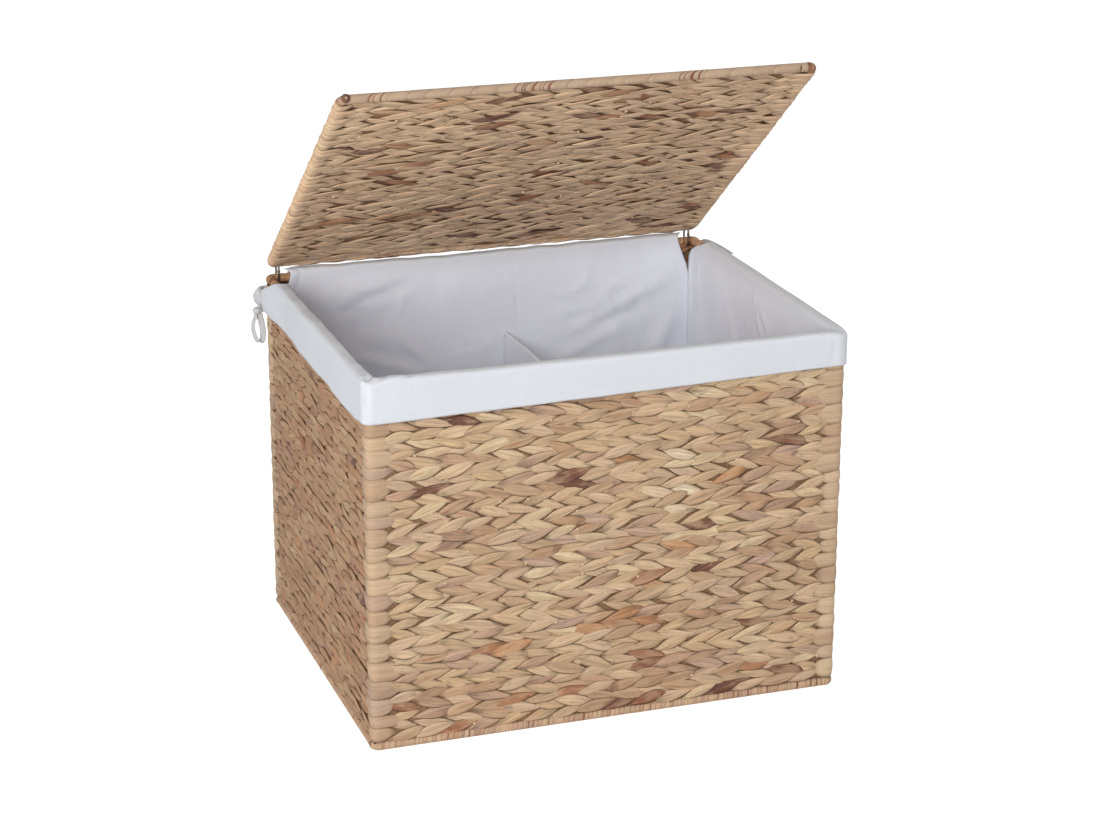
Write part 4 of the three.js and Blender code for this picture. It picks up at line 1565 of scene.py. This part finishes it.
@dataclass(frozen=True)
class Hem:
    """The cuff's hem on one panel: its height, rise towards one end, raggedness and front corner."""

    level: float
    rise: float = 0.0
    ragged: float = 1.0 * MM
    fine: float = 0.0
    corner: float | None = None
    even_ends: bool = False

    def height(self, side: Side, along: float) -> float:
        """The height of the hem at a place along its side."""
        ragged = self.ragged * wander(along * 30, 3.1, 7.0 * side.number)
        if self.even_ends:
            ragged *= smooth_step(0.285, 0.24, abs(along))
        free = self.level + self.rise * along / (POST_Y if side.value[0] else POST_X) + ragged
        free += self.fine * wander(along * 75, 9.4, 5.0 * side.number)
        if self.corner is None:
            return free
        return free + (self.corner - free) * smooth_step(-0.185, -0.225, along)


@dataclass
class Liner:
    """The cotton liner: four sewn panels with their cuffs, the bottom and the divider."""

    material: Material
    cut: LinerCut = LinerCut()
    divider_x: float = 20 * MM
    divider_foot: float = 12.8 * MM
    divider_top: float = 334.5 * MM
    roll_radius: float = 1.6 * MM
    bottom_z: float = 11.2 * MM
    front_lap: float = 0.011  # shares of a panel's length, as the next four
    back_inside_gap: float = 0.030
    back_outside_gap: float = 0.052
    least_cuff_gap: float = 0.035
    seam_share: float = 0.0225
    crumple_height: float = 1.9 * MM
    deepest_fold: float = -0.3 * MM
    deepest_cuff: float = -0.9 * MM
    foot_levels: Range = (0.011, 0.08)  # heights over which something sets in, as the next five
    fold_levels: Range = (0.436, 0.395)
    divider_levels: Range = (0.36, 0.32)
    cuff_levels: Range = (0.438, 0.394)
    hung_levels: Range = (0.415, 0.436)
    slit_levels: Range = (0.384, 0.39)
    rear_places: Range = (0.15, 0.21)  # the same along Y
    left_cuff_edge: SlitEdge = SlitEdge(417 * MM, 209 * MM, 54 * MM, 1.0, 5 * MM)
    left_edge: SlitEdge = SlitEdge(drawn=65.5 * MM)
    right_edge: SlitEdge = SlitEdge()
    soft_folds: Ripple = Ripple(1.6 * MM, 13, 2.2)
    fine_folds: Ripple = Ripple(0.8 * MM, 34, 7, 3)
    slanting_folds: Ripple = Ripple(1.1 * MM, 30, 8, 5)
    patches: Ripple = Ripple(1.0, 7, 9, 8)
    cuff_swells: Ripple = Ripple(0.5 * MM, 18, 24)
    puckers: Ripple = Ripple(0.8 * MM, 110, 36, 4)
    rim_gathers: Ripple = Ripple(3.4 * MM, 110, 110, 6.6)
    rim_ripple: Ripple = Ripple(0.6 * MM, 22, 22, 1.7)
    left_wobble: Ripple = Ripple(2.2 * MM, 40, 30, 8.7)

    def build(self) -> None:
        cut = self.cut
        for side, width in zip((Side.FRONT, Side.BACK, Side.LEFT, Side.RIGHT),
                               (575 * MM, 575 * MM, 470 * MM, 470 * MM)):
            name = side.name.lower()
            panel = ClothSurface(f"liner_cloth_{name}", width, cut.length, self.panel_rule(side),
                                 self.material, fine_from=cut.top_z - cut.foot_z - 8 * MM)
            panel.build(f"liner_panel_{name}")
        bottom = ClothSurface("liner_cloth_bottom", 541 * MM, 436 * MM, self.bottom_point, self.material,
                              9 * MM, 9 * MM)
        bottom.build("liner_bottom")
        divider = ClothSurface("liner_cloth_divider", 436 * MM, 322 * MM, self.divider_point, self.material,
                               4.5 * MM, 3.0 * MM, fine_from=310 * MM, fine_spacing=0.8 * MM)
        divider.build("liner_divider")

    def wall_folds(self, side: Side, place: Vector, share: float) -> float:
        """How far the inner wall's cloth stands into the basket.

        Args:
            side: Which panel.
            place: The point on the flat cloth.
            share: Its share along the panel.

        Returns:
            The fold's depth in metres.
        """
        along, up = side.along(place), place.z
        seed = 7.3 * side.number
        depth = self.soft_folds.height + self.soft_folds.at(along, up, seed)
        depth += self.fine_folds.at(along, up, seed) + self.slanting_folds.at(along + up, along - up, seed)
        crumpled = self.crumple(along * 15 + up * 9, up * 24 - along * 6, seed)
        crumpled += 0.6 * self.crumple(along * 27 - up * 12, up * 40 + along * 9, seed + 1)
        patch = smooth_step(-0.25, 0.45, self.patches.at(along, up, seed))
        depth += self.crumple_height * crumpled * patch
        depth += sum(crease.depth(along, up) for crease in CREASES.get(side, ()))
        held = smooth_step(0.0, 0.09, share) * smooth_step(0.0, 0.09, 1 - share)
        held *= smooth_step(*self.foot_levels, up) * smooth_step(*self.fold_levels, up)
        if side in (Side.FRONT, Side.BACK):
            pressed = bell(self.divider_x, 0.022, along) * smooth_step(*self.divider_levels, up)
            held *= max(0.0, 1 - pressed)
        return max(self.deepest_fold, depth * held)

    @staticmethod
    def crumple(first: float, second: float, seed: float) -> float:
        """Thin wandering ridges, 0 to 1, along the lines where a noise changes its sign."""
        return max(0.0, 1 - 5 * abs(wander(first, second, seed))) ** 1.5

    def cuff_swell(self, side: Side, place: Vector, share: float) -> float:
        """How far the cuff's cloth stands out, with puckers at its sewn ends.

        Args:
            side: Which panel.
            place: The point on the flat cloth.
            share: Its share along the panel.

        Returns:
            The swell in metres.
        """
        along, up = side.along(place), place.z
        seed = 11.1 * side.number + 2
        loose = (2.0 if side is Side.LEFT else 1.2) * MM * smooth_step(*self.cuff_levels, up)
        swell = loose * wander(along * 14, seed, 0.3) + self.cuff_swells.at(along, up, seed)
        swell += (bell(0, 0.045, share) + bell(1, 0.045, share)) * self.puckers.at(along, up, seed)
        if side is Side.FRONT:
            fold = bell(0.2665 + 0.12 * (up - 0.42), 0.0022, along) * smooth_step(0.404, 0.418, up)
            swell += 0.7 * MM * bell(0.2725, 0.003, along) - 1.0 * MM * fold * smooth_step(0.438, 0.43, up)
        if side is Side.LEFT:
            swell += 6.5 * MM * smooth_step(0.12, 0.212, along) * bell(0.412, 0.024, up)
        sewn = smooth_step(0.0, 0.02, share) * smooth_step(0.0, 0.02, 1 - share)
        return max(self.deepest_cuff, swell * sewn + 0.6 * MM * bell(0.5, 0.4, share))

    def rim_lift(self, place: Vector) -> float:
        """How much higher than its even level the fold lies at a place, in metres."""
        x, y = place.x, place.y
        rear = smooth_step(*self.rear_places, y)
        lift = 1.0 * MM * smooth_step(0.0, 0.27, x) * smooth_step(0.10, -0.2, y)
        lift += bell(0, 0.055, math.hypot(x + 0.285, y + 0.232)) * self.rim_gathers.at(x, y)
        lift += self.rim_ripple.at(x, y) + self.left_wobble.at(x, y) * smooth_step(-0.2, -0.27, x)
        lift += rear * (1.4 * MM * wander(x * 36, 2.2, 4.7) - 2.2 * MM * bell(-0.04, 0.16, x))
        return lift - 4.0 * MM * bell(0, 0.013, math.hypot(x - 0.287, y + 0.234))

    def drawn_in(self, side: Side, share: float, part: float, level: float) -> float:
        """The share along a panel, drawn in at the rear slits and lapped at the front corners.

        Args:
            side: Which panel.
            share: The share along the even panel.
            part: The share of the way from the inner wall to the cuff.
            level: The height on the even panel.

        Returns:
            The share along the panel.
        """
        inside = part < 0.5
        if side is Side.FRONT:
            return share if part <= 0.5 else 0.5 + (share - 0.5) * (1 + self.front_lap * (2 * part - 1))
        if inside and level < SLIT_FOOT_Z:
            return share
        if side is Side.BACK:
            rise = smooth_step(SLIT_FOOT_Z, FOLD_TOP_Z, level)
            gap = self.back_inside_gap * rise if inside else self.back_outside_gap
            return gap + share * (1 - 2 * gap)
        edge = self.right_edge
        if side is Side.LEFT:
            edge = self.left_cuff_edge if part > 0.5 else self.left_edge
        kept = (edge.at(level, self.cut.top_z) + self.cut.inner_y) / (2 * self.cut.inner_y)
        kept = min(1.0 if inside else 1 - self.least_cuff_gap, kept)
        return share * kept if side is Side.RIGHT else 1 - (1 - share) * kept

    def panel_rule(self, side: Side) -> Callable[[float, float], Vector]:
        """The rule that lays out one panel.

        Args:
            side: Which panel.

        Returns:
            A function from the share along the panel and the metres up the cloth to a point.
        """
        cut = self.cut
        hem = {
            Side.FRONT: Hem(396.8 * MM, 5.4 * MM, 0.5 * MM, even_ends=True),
            Side.RIGHT: Hem(397.5 * MM, -2.0 * MM, 1.2 * MM, corner=402.3 * MM),
            Side.BACK: Hem(394.0 * MM),
            Side.LEFT: Hem(390.0 * MM, 3.5 * MM, 2.2 * MM, 1.2 * MM, 391.3 * MM),
        }[side]

        def seam(share: float, level: float) -> float:
            """How far the stitched edge beside a slit stands in, with the groove of its seam."""
            aside = min(share, 1 - share)
            stitched = 0.9 * MM * smooth_step(0.021, 0.0195, aside)
            stitched -= 1.3 * MM * bell(self.seam_share, 0.002, aside)
            return 0.0 if side is Side.FRONT else stitched * smooth_step(*self.slit_levels, level)

        def point(share: float, run: float) -> Vector:
            """The place of one point of the cloth."""
            part, level = cut.profile(run)
            drawn = self.drawn_in(side, share, part, level)
            radius = cut.inner_radius + (cut.outer_radius - cut.inner_radius) * part
            place, normal = ring_point(side, drawn, cut.inner_x + cut.span * part,
                                       cut.inner_y + cut.span * part, radius)
            place.z = level
            if part >= 1.0:
                hung = (cut.shoulder - hem.height(side, side.along(place))) / (cut.shoulder - cut.hem_z)
                place.z = cut.shoulder - (cut.shoulder - level) * hung
            if part < 0.5:
                depth = self.wall_folds(side, place, drawn) + seam(share, level)
                place -= normal * depth * (1 - 2 * part)
            else:
                place += normal * self.cuff_swell(side, place, drawn) * (2 * part - 1)
            place.z += smooth_step(*self.hung_levels, level) * self.rim_lift(place)
            return place

        return point

    def bottom_point(self, share: float, run: float) -> Vector:
        """The place of one point of the liner's bottom."""
        x = (share - 0.5) * 0.540
        y = run - 0.218
        ripple = 1.1 * MM * (1 + wander(x * 9, y * 9, 4.2))
        ripple += 0.6 * MM * wander((x + y) * 24, (x - y) * 10, 8.1)
        edge = smooth_step(0, 0.03, 0.270 - abs(x)) * smooth_step(0, 0.03, 0.218 - abs(y))
        return Vector((x, y, self.bottom_z + ripple * edge))

    def divider_point(self, share: float, run: float) -> Vector:
        """The place of one point of the divider, which is held at its two ends and its foot."""
        y = (share - 0.5) * 0.4366
        rear = smooth_step(0.0, 0.035, 0.2183 - y)
        front = smooth_step(0.0, 0.035, 0.2183 + y)
        rolled_from = 0.322 - 5.2 * self.roll_radius
        turn = max(0.0, run - rolled_from) / self.roll_radius
        top = self.divider_top - 4.5 * MM * (1 - (y / 0.218) ** 2) - self.roll_radius
        level = self.divider_foot + (top - self.divider_foot) * min(1.0, run / rolled_from)
        high = smooth_step(0.05, 0.30, level)
        swing = 6.5 * MM * math.sin(math.pi * share) + 2.4 * MM * wander(y * 17, level * 6, 2.4)
        pull = 1.0 * MM * wander((y * 0.7 + level) * 40, (y - level) * 7, 6.4)
        gather = 1.1 * MM * (2 - rear - front) * math.sin(level * 520) * smooth_step(0.22, 0.33, level)
        groove = 0.7 * MM * bell(0.0055, 0.0012, top - level) + 1.2 * MM * bell(0.2045, 0.0028, y)
        x = self.divider_x + rear * front * (swing * high + pull) + gather - groove
        x += self.roll_radius * (1 - math.cos(turn))
        return Vector((x, y, level + self.roll_radius * math.sin(turn)))


# ---------------------------------------------------------------- ties


def smooth_route(points: Sequence[Point], pieces: int) -> list[Vector]:
    """A smooth line through chosen points.

    Args:
        points: The chosen points.
        pieces: How many pieces each stretch between two points gets.

    Returns:
        The line's points.
    """
    known = [Vector(point) for point in points]
    known = [2 * known[0] - known[1], *known, 2 * known[-1] - known[-2]]
    line: list[Vector] = []
    for before, start, end, after in zip(known, known[1:], known[2:], known[3:]):
        for step in range(pieces):
            t = step / pieces
            curve = (2 * before - 5 * start + 4 * end - after) * t * t
            curve += (3 * start - before - 3 * end + after) * t ** 3
            line.append(0.5 * (2 * start + (end - before) * t + curve))
    return [*line, known[-2]]


@dataclass
class FlatTape:
    """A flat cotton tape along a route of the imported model."""

    name: str
    node: str
    route: Sequence[Point]
    material: Material
    flat_ways: Sequence[Point]
    width: float = 7.0 * MM
    end_width: float = 1.0
    thickness: float = 0.9 * MM
    pieces: int = 3
    section: int = 8

    def build(self, **said: object) -> None:
        """Args:
            **said: What its cord says of its far end, how it lies and the knots that belong to it; not
                    used.
        """
        line = smooth_route(self.route, self.pieces)
        bm = bmesh.new()
        bmesh.ops.create_circle(bm, cap_ends=True, segments=self.section, radius=1.0)
        section = [vertex.co.copy() for vertex in bm.verts]
        ring = bm.verts[:]
        faces = bm.faces[:]
        for number in range(len(line)):
            if number:
                made = bmesh.ops.extrude_face_region(bm, geom=faces)["geom"]
                if number > 1:
                    bmesh.ops.delete(bm, geom=faces, context="FACES_ONLY")
                faces = of_kind(made, BMFace)
                ring = self.in_order(of_kind(made, BMVert), ring_places)
            section_here = self.section_frame(line, number)
            for vertex, flat in zip(ring, section):
                vertex.co = section_here @ flat
            ring_places = [vertex.co.copy() for vertex in ring]
        piece = new_piece(kept_mesh(self.name, bm, self.material), Body.BASKET, self.node)

    @staticmethod
    def in_order(made: list[BMVert], places: list[Vector]) -> list[BMVert]:
        """Orders the extruded points as those that they came from, which they still lie on."""
        return [min(made, key=lambda vertex: (vertex.co - place).length_squared) for place in places]

    def section_frame(self, line: Sequence[Vector], number: int) -> Matrix:
        """The frame of the tape's section at one point of its line.

        Args:
            line: The tape's line.
            number: The point's index.

        Returns:
            A matrix that takes the unit circle to the section there.
        """
        ahead = (line[min(number + 1, len(line) - 1)] - line[max(number - 1, 0)]).normalized()
        share = number / (len(line) - 1)
        spot = share * (len(self.flat_ways) - 1)
        first = min(int(spot), len(self.flat_ways) - 2)
        way = Vector(self.flat_ways[first]).lerp(Vector(self.flat_ways[first + 1]), spot - first)
        way = (way - ahead * way.dot(ahead)).normalized()
        half = self.width / 2 * (1 + (self.end_width - 1) * share)
        return moved(*line[number]) @ facing(way * half, ahead.cross(way) * self.thickness / 2, ahead)


@dataclass
class GatheredKnot:
    """A knot of gathered tape: a lump with pleats that run to its neck."""

    name: str
    node: str
    centre: Point
    size: Point
    material: Material
    pleats: int = 7
    neck: float = 0.0
    seed: float = 0.0

    def build(self) -> Piece:
        """Builds the knot and gives its piece."""
        bm = bmesh.new()
        bmesh.ops.create_uvsphere(bm, u_segments=28, v_segments=18, radius=0.5)
        for vertex in bm.verts:
            angle = math.atan2(vertex.co.y, vertex.co.x)
            level = vertex.co.z * 2
            girth = math.sqrt(max(0.0, 1 - level * level))
            pleat = 1 + 0.11 * girth * math.sin(self.pleats * angle + 2.2 * level + self.seed)
            lump = 1 + 0.16 * wander(*vertex.co * 4 + Vector((self.seed, 0, 0)))
            squeeze = 1 - self.neck * smooth_step(0.1, 0.9, -level)
            wide = pleat * lump * squeeze
            vertex.co = Vector((vertex.co.x * wide, vertex.co.y * wide, vertex.co.z * lump))
        bmesh.ops.scale(bm, vec=self.size, verts=bm.verts)
        bmesh.ops.translate(bm, vec=self.centre, verts=bm.verts)
        return new_piece(kept_mesh(self.name, bm, self.material), Body.BASKET, self.node)


@dataclass
class TieTapes:
    """The cotton tapes that hold the liner at the two rear corners."""

    material: Material

    def build(self) -> None:
        """Builds the knots and tapes."""
        knot = GatheredKnot("gathered_knot_left", "tie_knot_left", (-0.292, 0.2283, 0.4062),
                            (0.0150, 0.0138, 0.0262), self.material, neck=0.35, seed=1.0).build()
        low_knot = GatheredKnot("low_knot_left", "tie_lower_knot_left", (-0.2955, 0.227, 0.3905),
                                (0.0125, 0.0115, 0.0088), self.material, pleats=5, seed=4.0).build()
        left = FlatTape(
            "tape_left", "tie_tape_left",
            ((-0.250, 0.238, 0.430), (-0.257, 0.2382, 0.427), (-0.2635, 0.2382, 0.4205),
             (-0.271, 0.2382, 0.4164), (-0.280, 0.2382, 0.4152), (-0.287, 0.238, 0.415),
             (-0.292, 0.2354, 0.415)),
            self.material, ((0, 0, 1), (0, 0, 1), (0, 0.2, 1)), end_width=0.8,
        )
        loop = FlatTape(
            "tape_bow_loop", "tie_bow_loop_left",
            ((-0.2934, 0.227, 0.3862), (-0.2934, 0.227, 0.382), (-0.2918, 0.2264, 0.376),
             (-0.2906, 0.225, 0.365), (-0.2914, 0.224, 0.354), (-0.2952, 0.2236, 0.3506),
             (-0.2994, 0.224, 0.355), (-0.3024, 0.225, 0.366), (-0.3016, 0.2264, 0.376),
             (-0.2986, 0.227, 0.382), (-0.2986, 0.227, 0.3862)),
            self.material,
            ((0.95, -0.33, 0), (0.95, -0.33, 0), (0.85, -0.5, 0), (0.5, -0.85, 0), (0.4, -0.9, 0)),
            width=8.0 * MM, end_width=0.75,
        )
        right = FlatTape(
            "tape_right", "tie_tape_right",
            ((0.250, 0.238, 0.430), (0.257, 0.2382, 0.427), (0.2635, 0.2382, 0.4205),
             (0.271, 0.2382, 0.4164), (0.280, 0.2379, 0.4166), (0.2866, 0.2362, 0.420),
             (0.2906, 0.2314, 0.425), (0.2924, 0.222, 0.429), (0.2944, 0.205, 0.431),
             (0.2964, 0.185, 0.4316), (0.2978, 0.165, 0.4314), (0.2986, 0.146, 0.431)),
            self.material, ((0, 0, 1), (0, 0, 1), (0.15, 0, 1), (0.8, 0, 0.6), (1, 0, 0.15), (1, 0, 0.05)),
        )
        left.build(far_end="knot", lay="taut", with_pieces=[knot])
        loop.build(far_end="knot", lay="hanging", with_pieces=[low_knot])
        right.build(far_end="bare", lay="loose")


# ---------------------------------------------------------------- studio


@dataclass(frozen=True)
class PhotoCamera:
    """The camera at the photograph's viewing angle."""

    azimuth: float = -0.3331766
    elevation: float = 0.3314456
    roll: float = 0.0028735
    distance: float = 3.3073378
    target: Point = (0.0063074, 0.0, 0.2991242)
    lens: float = 90.17
    sensor: float = 36.0
    far: float = 60.0

    def build(self) -> None:
        """Makes the camera and the scene's view through it."""
        flat = math.cos(self.elevation)
        back = Vector((math.sin(self.azimuth) * flat, -math.cos(self.azimuth) * flat,
                       math.sin(self.elevation)))
        level = Vector((0, 0, 1)).cross(back).normalized()
        rise = back.cross(level)
        right = level * math.cos(self.roll) + rise * math.sin(self.roll)
        up = rise * math.cos(self.roll) - level * math.sin(self.roll)
        data = bpy.data.cameras.new("photo_camera")
        data.lens = self.lens
        data.sensor_width = self.sensor
        data.sensor_fit = "HORIZONTAL"
        data.clip_end = self.far
        camera = bpy.data.objects.new("photo_camera", data)
        camera.matrix_world = moved(*Vector(self.target) + back * self.distance) @ facing(right, up, back)
        bpy.context.scene.collection.objects.link(camera)
        bpy.context.scene.camera = camera


@dataclass(frozen=True)
class SoftLamp:
    """A large soft lamp that looks at the basket."""

    name: str
    place: Point
    power: float
    aim: Point = (0.0, 0.0, 0.25)
    size: float = 2.0

    def build(self) -> None:
        """Hangs the lamp."""
        data = bpy.data.lights.new(self.name, "AREA")
        data.shape = "SQUARE"
        data.size = self.size
        data.energy = self.power
        lamp = bpy.data.objects.new(self.name, data)
        way = Vector(self.aim) - Vector(self.place)
        lamp.matrix_world = moved(*self.place) @ way.to_track_quat("-Z", "Y").to_matrix().to_4x4()
        bpy.context.scene.collection.objects.link(lamp)


@dataclass(frozen=True)
class Studio:
    """The white studio: surroundings, floor and lamps."""

    surround: float = 0.24
    floor_glow: float = 0.80
    floor_tone: float = 0.80
    floor_half: float = 9.0
    lamps: tuple[SoftLamp, ...] = (
        SoftLamp("key_lamp", (-2.3, -3.3, 1.7), 104.0),
        SoftLamp("side_lamp", (-3.4, -0.9, 1.0), 19.0),
        SoftLamp("edge_lamp", (2.6, -1.2, 2.8), 33.0, (0.0, 0.0, 0.4)),
    )

    def build(self) -> None:
        """Builds the studio."""
        bpy.context.scene.view_settings.view_transform = "Standard"
        self.surroundings()
        self.floor()
        for lamp in self.lamps:
            lamp.build()

    def surroundings(self) -> None:
        """White to the camera and to reflections, and a plain grey light otherwise."""
        world = bpy.data.worlds.new("studio")
        bpy.context.scene.world = world
        graph = ShaderGraph.emptied(world)
        strength = graph.range(self.seen_rays(graph), 0.0, 1.0, self.surround, 1.0)
        background = graph.node("Background", {"Color": (1, 1, 1, 1), "Strength": strength})
        graph.node("OutputWorld", {"Surface": background.outputs[0]})

    @staticmethod
    def seen_rays(graph: ShaderGraph) -> Socket:
        """1 for rays from the camera, off gloss or through glass, and 0 for the others."""
        path = graph.node("LightPath").outputs
        both = graph.plus(path["Is Camera Ray"], path["Is Glossy Ray"])
        return graph.math("ADD", both, path["Is Transmission Ray"], clamp=True)

    def floor(self) -> None:
        """A pale floor that keeps the basket's shadow."""
        material = bpy.data.materials.new("studio_floor")
        graph = ShaderGraph.emptied(material)
        matt = graph.node("BsdfDiffuse", {"Color": (self.floor_tone, self.floor_tone, self.floor_tone, 1)})
        strength = graph.range(self.seen_rays(graph), 0.0, 1.0, 0.0, self.floor_glow)
        glow = graph.node("Emission", {"Color": (1, 1, 1, 1), "Strength": strength})
        both = graph.node("AddShader", (matt.outputs[0], glow.outputs[0]))
        graph.node("OutputMaterial", {"Surface": both.outputs[0]})
        bm = bmesh.new()
        bmesh.ops.create_grid(bm, x_segments=4, y_segments=4, size=self.floor_half)
        mesh = kept_mesh("studio_floor", bm, material, open_cloth=True)
        floor = bpy.data.objects.new("studio_floor", mesh)
        bpy.context.scene.collection.objects.link(floor)


def paint_frame(name: str, paint: Material) -> None:
    """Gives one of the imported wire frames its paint."""
    materials = bpy.data.objects[name].data.materials
    materials.clear()
    materials.append(paint)
    LOG.info("%s painted", name)


def main() -> None:
    """Builds the basket in order."""
    logging.basicConfig(level=logging.INFO, format="%(message)s")
    PhotoCamera().build()
    wardrobe = Wardrobe()
    TieTapes(wardrobe.tape).build()
    works = LeafWorks()
    BasketBody(works, wardrobe).build()
    RailSet("base", works, wardrobe.whipping, Body.BASKET, moved(0, 0, BASE_Z), POST_X, -POST_Y, POST_Y,
            100, WrapStyle((3.8 * MM, 7.8 * MM), thin_share=0.16, calm=0.2), corner_dark=0.1).build()
    RailSet("rim", works, wardrobe.rim_whipping, Body.BASKET, moved(0, 0, RIM_Z), POST_X, -POST_Y, POST_Y,
            200, WrapStyle((6.5 * MM, 10.5 * MM), thin_share=0.08)).build()
    front = WrapStyle((19 * MM, 34 * MM), lean=0.9, calm=0.55, sleek=True, dark_share=0.0,
                      bands=((0.045, 0.08), (0.36, 0.435), (0.68, 0.765)))
    RailSet("lid", works, wardrobe.sleek_whipping, Body.LID, lid_frame(), LID_SIDE_X, -LID_REACH, 0.0, 300,
            WrapStyle((8 * MM, 13 * MM), lean=0.4, calm=0.3), front, corner_dark=0.35).build()
    HingeLinks(wardrobe.wire).build()
    Lid(works, wardrobe).build()
    Liner(wardrobe.cotton).build()
    works.clear()
    for name in ("basket_wire_frame", "lid_wire_frame"):
        paint_frame(name, wardrobe.paint)
    Studio().build()


if __name__ == "__main__":
    main()
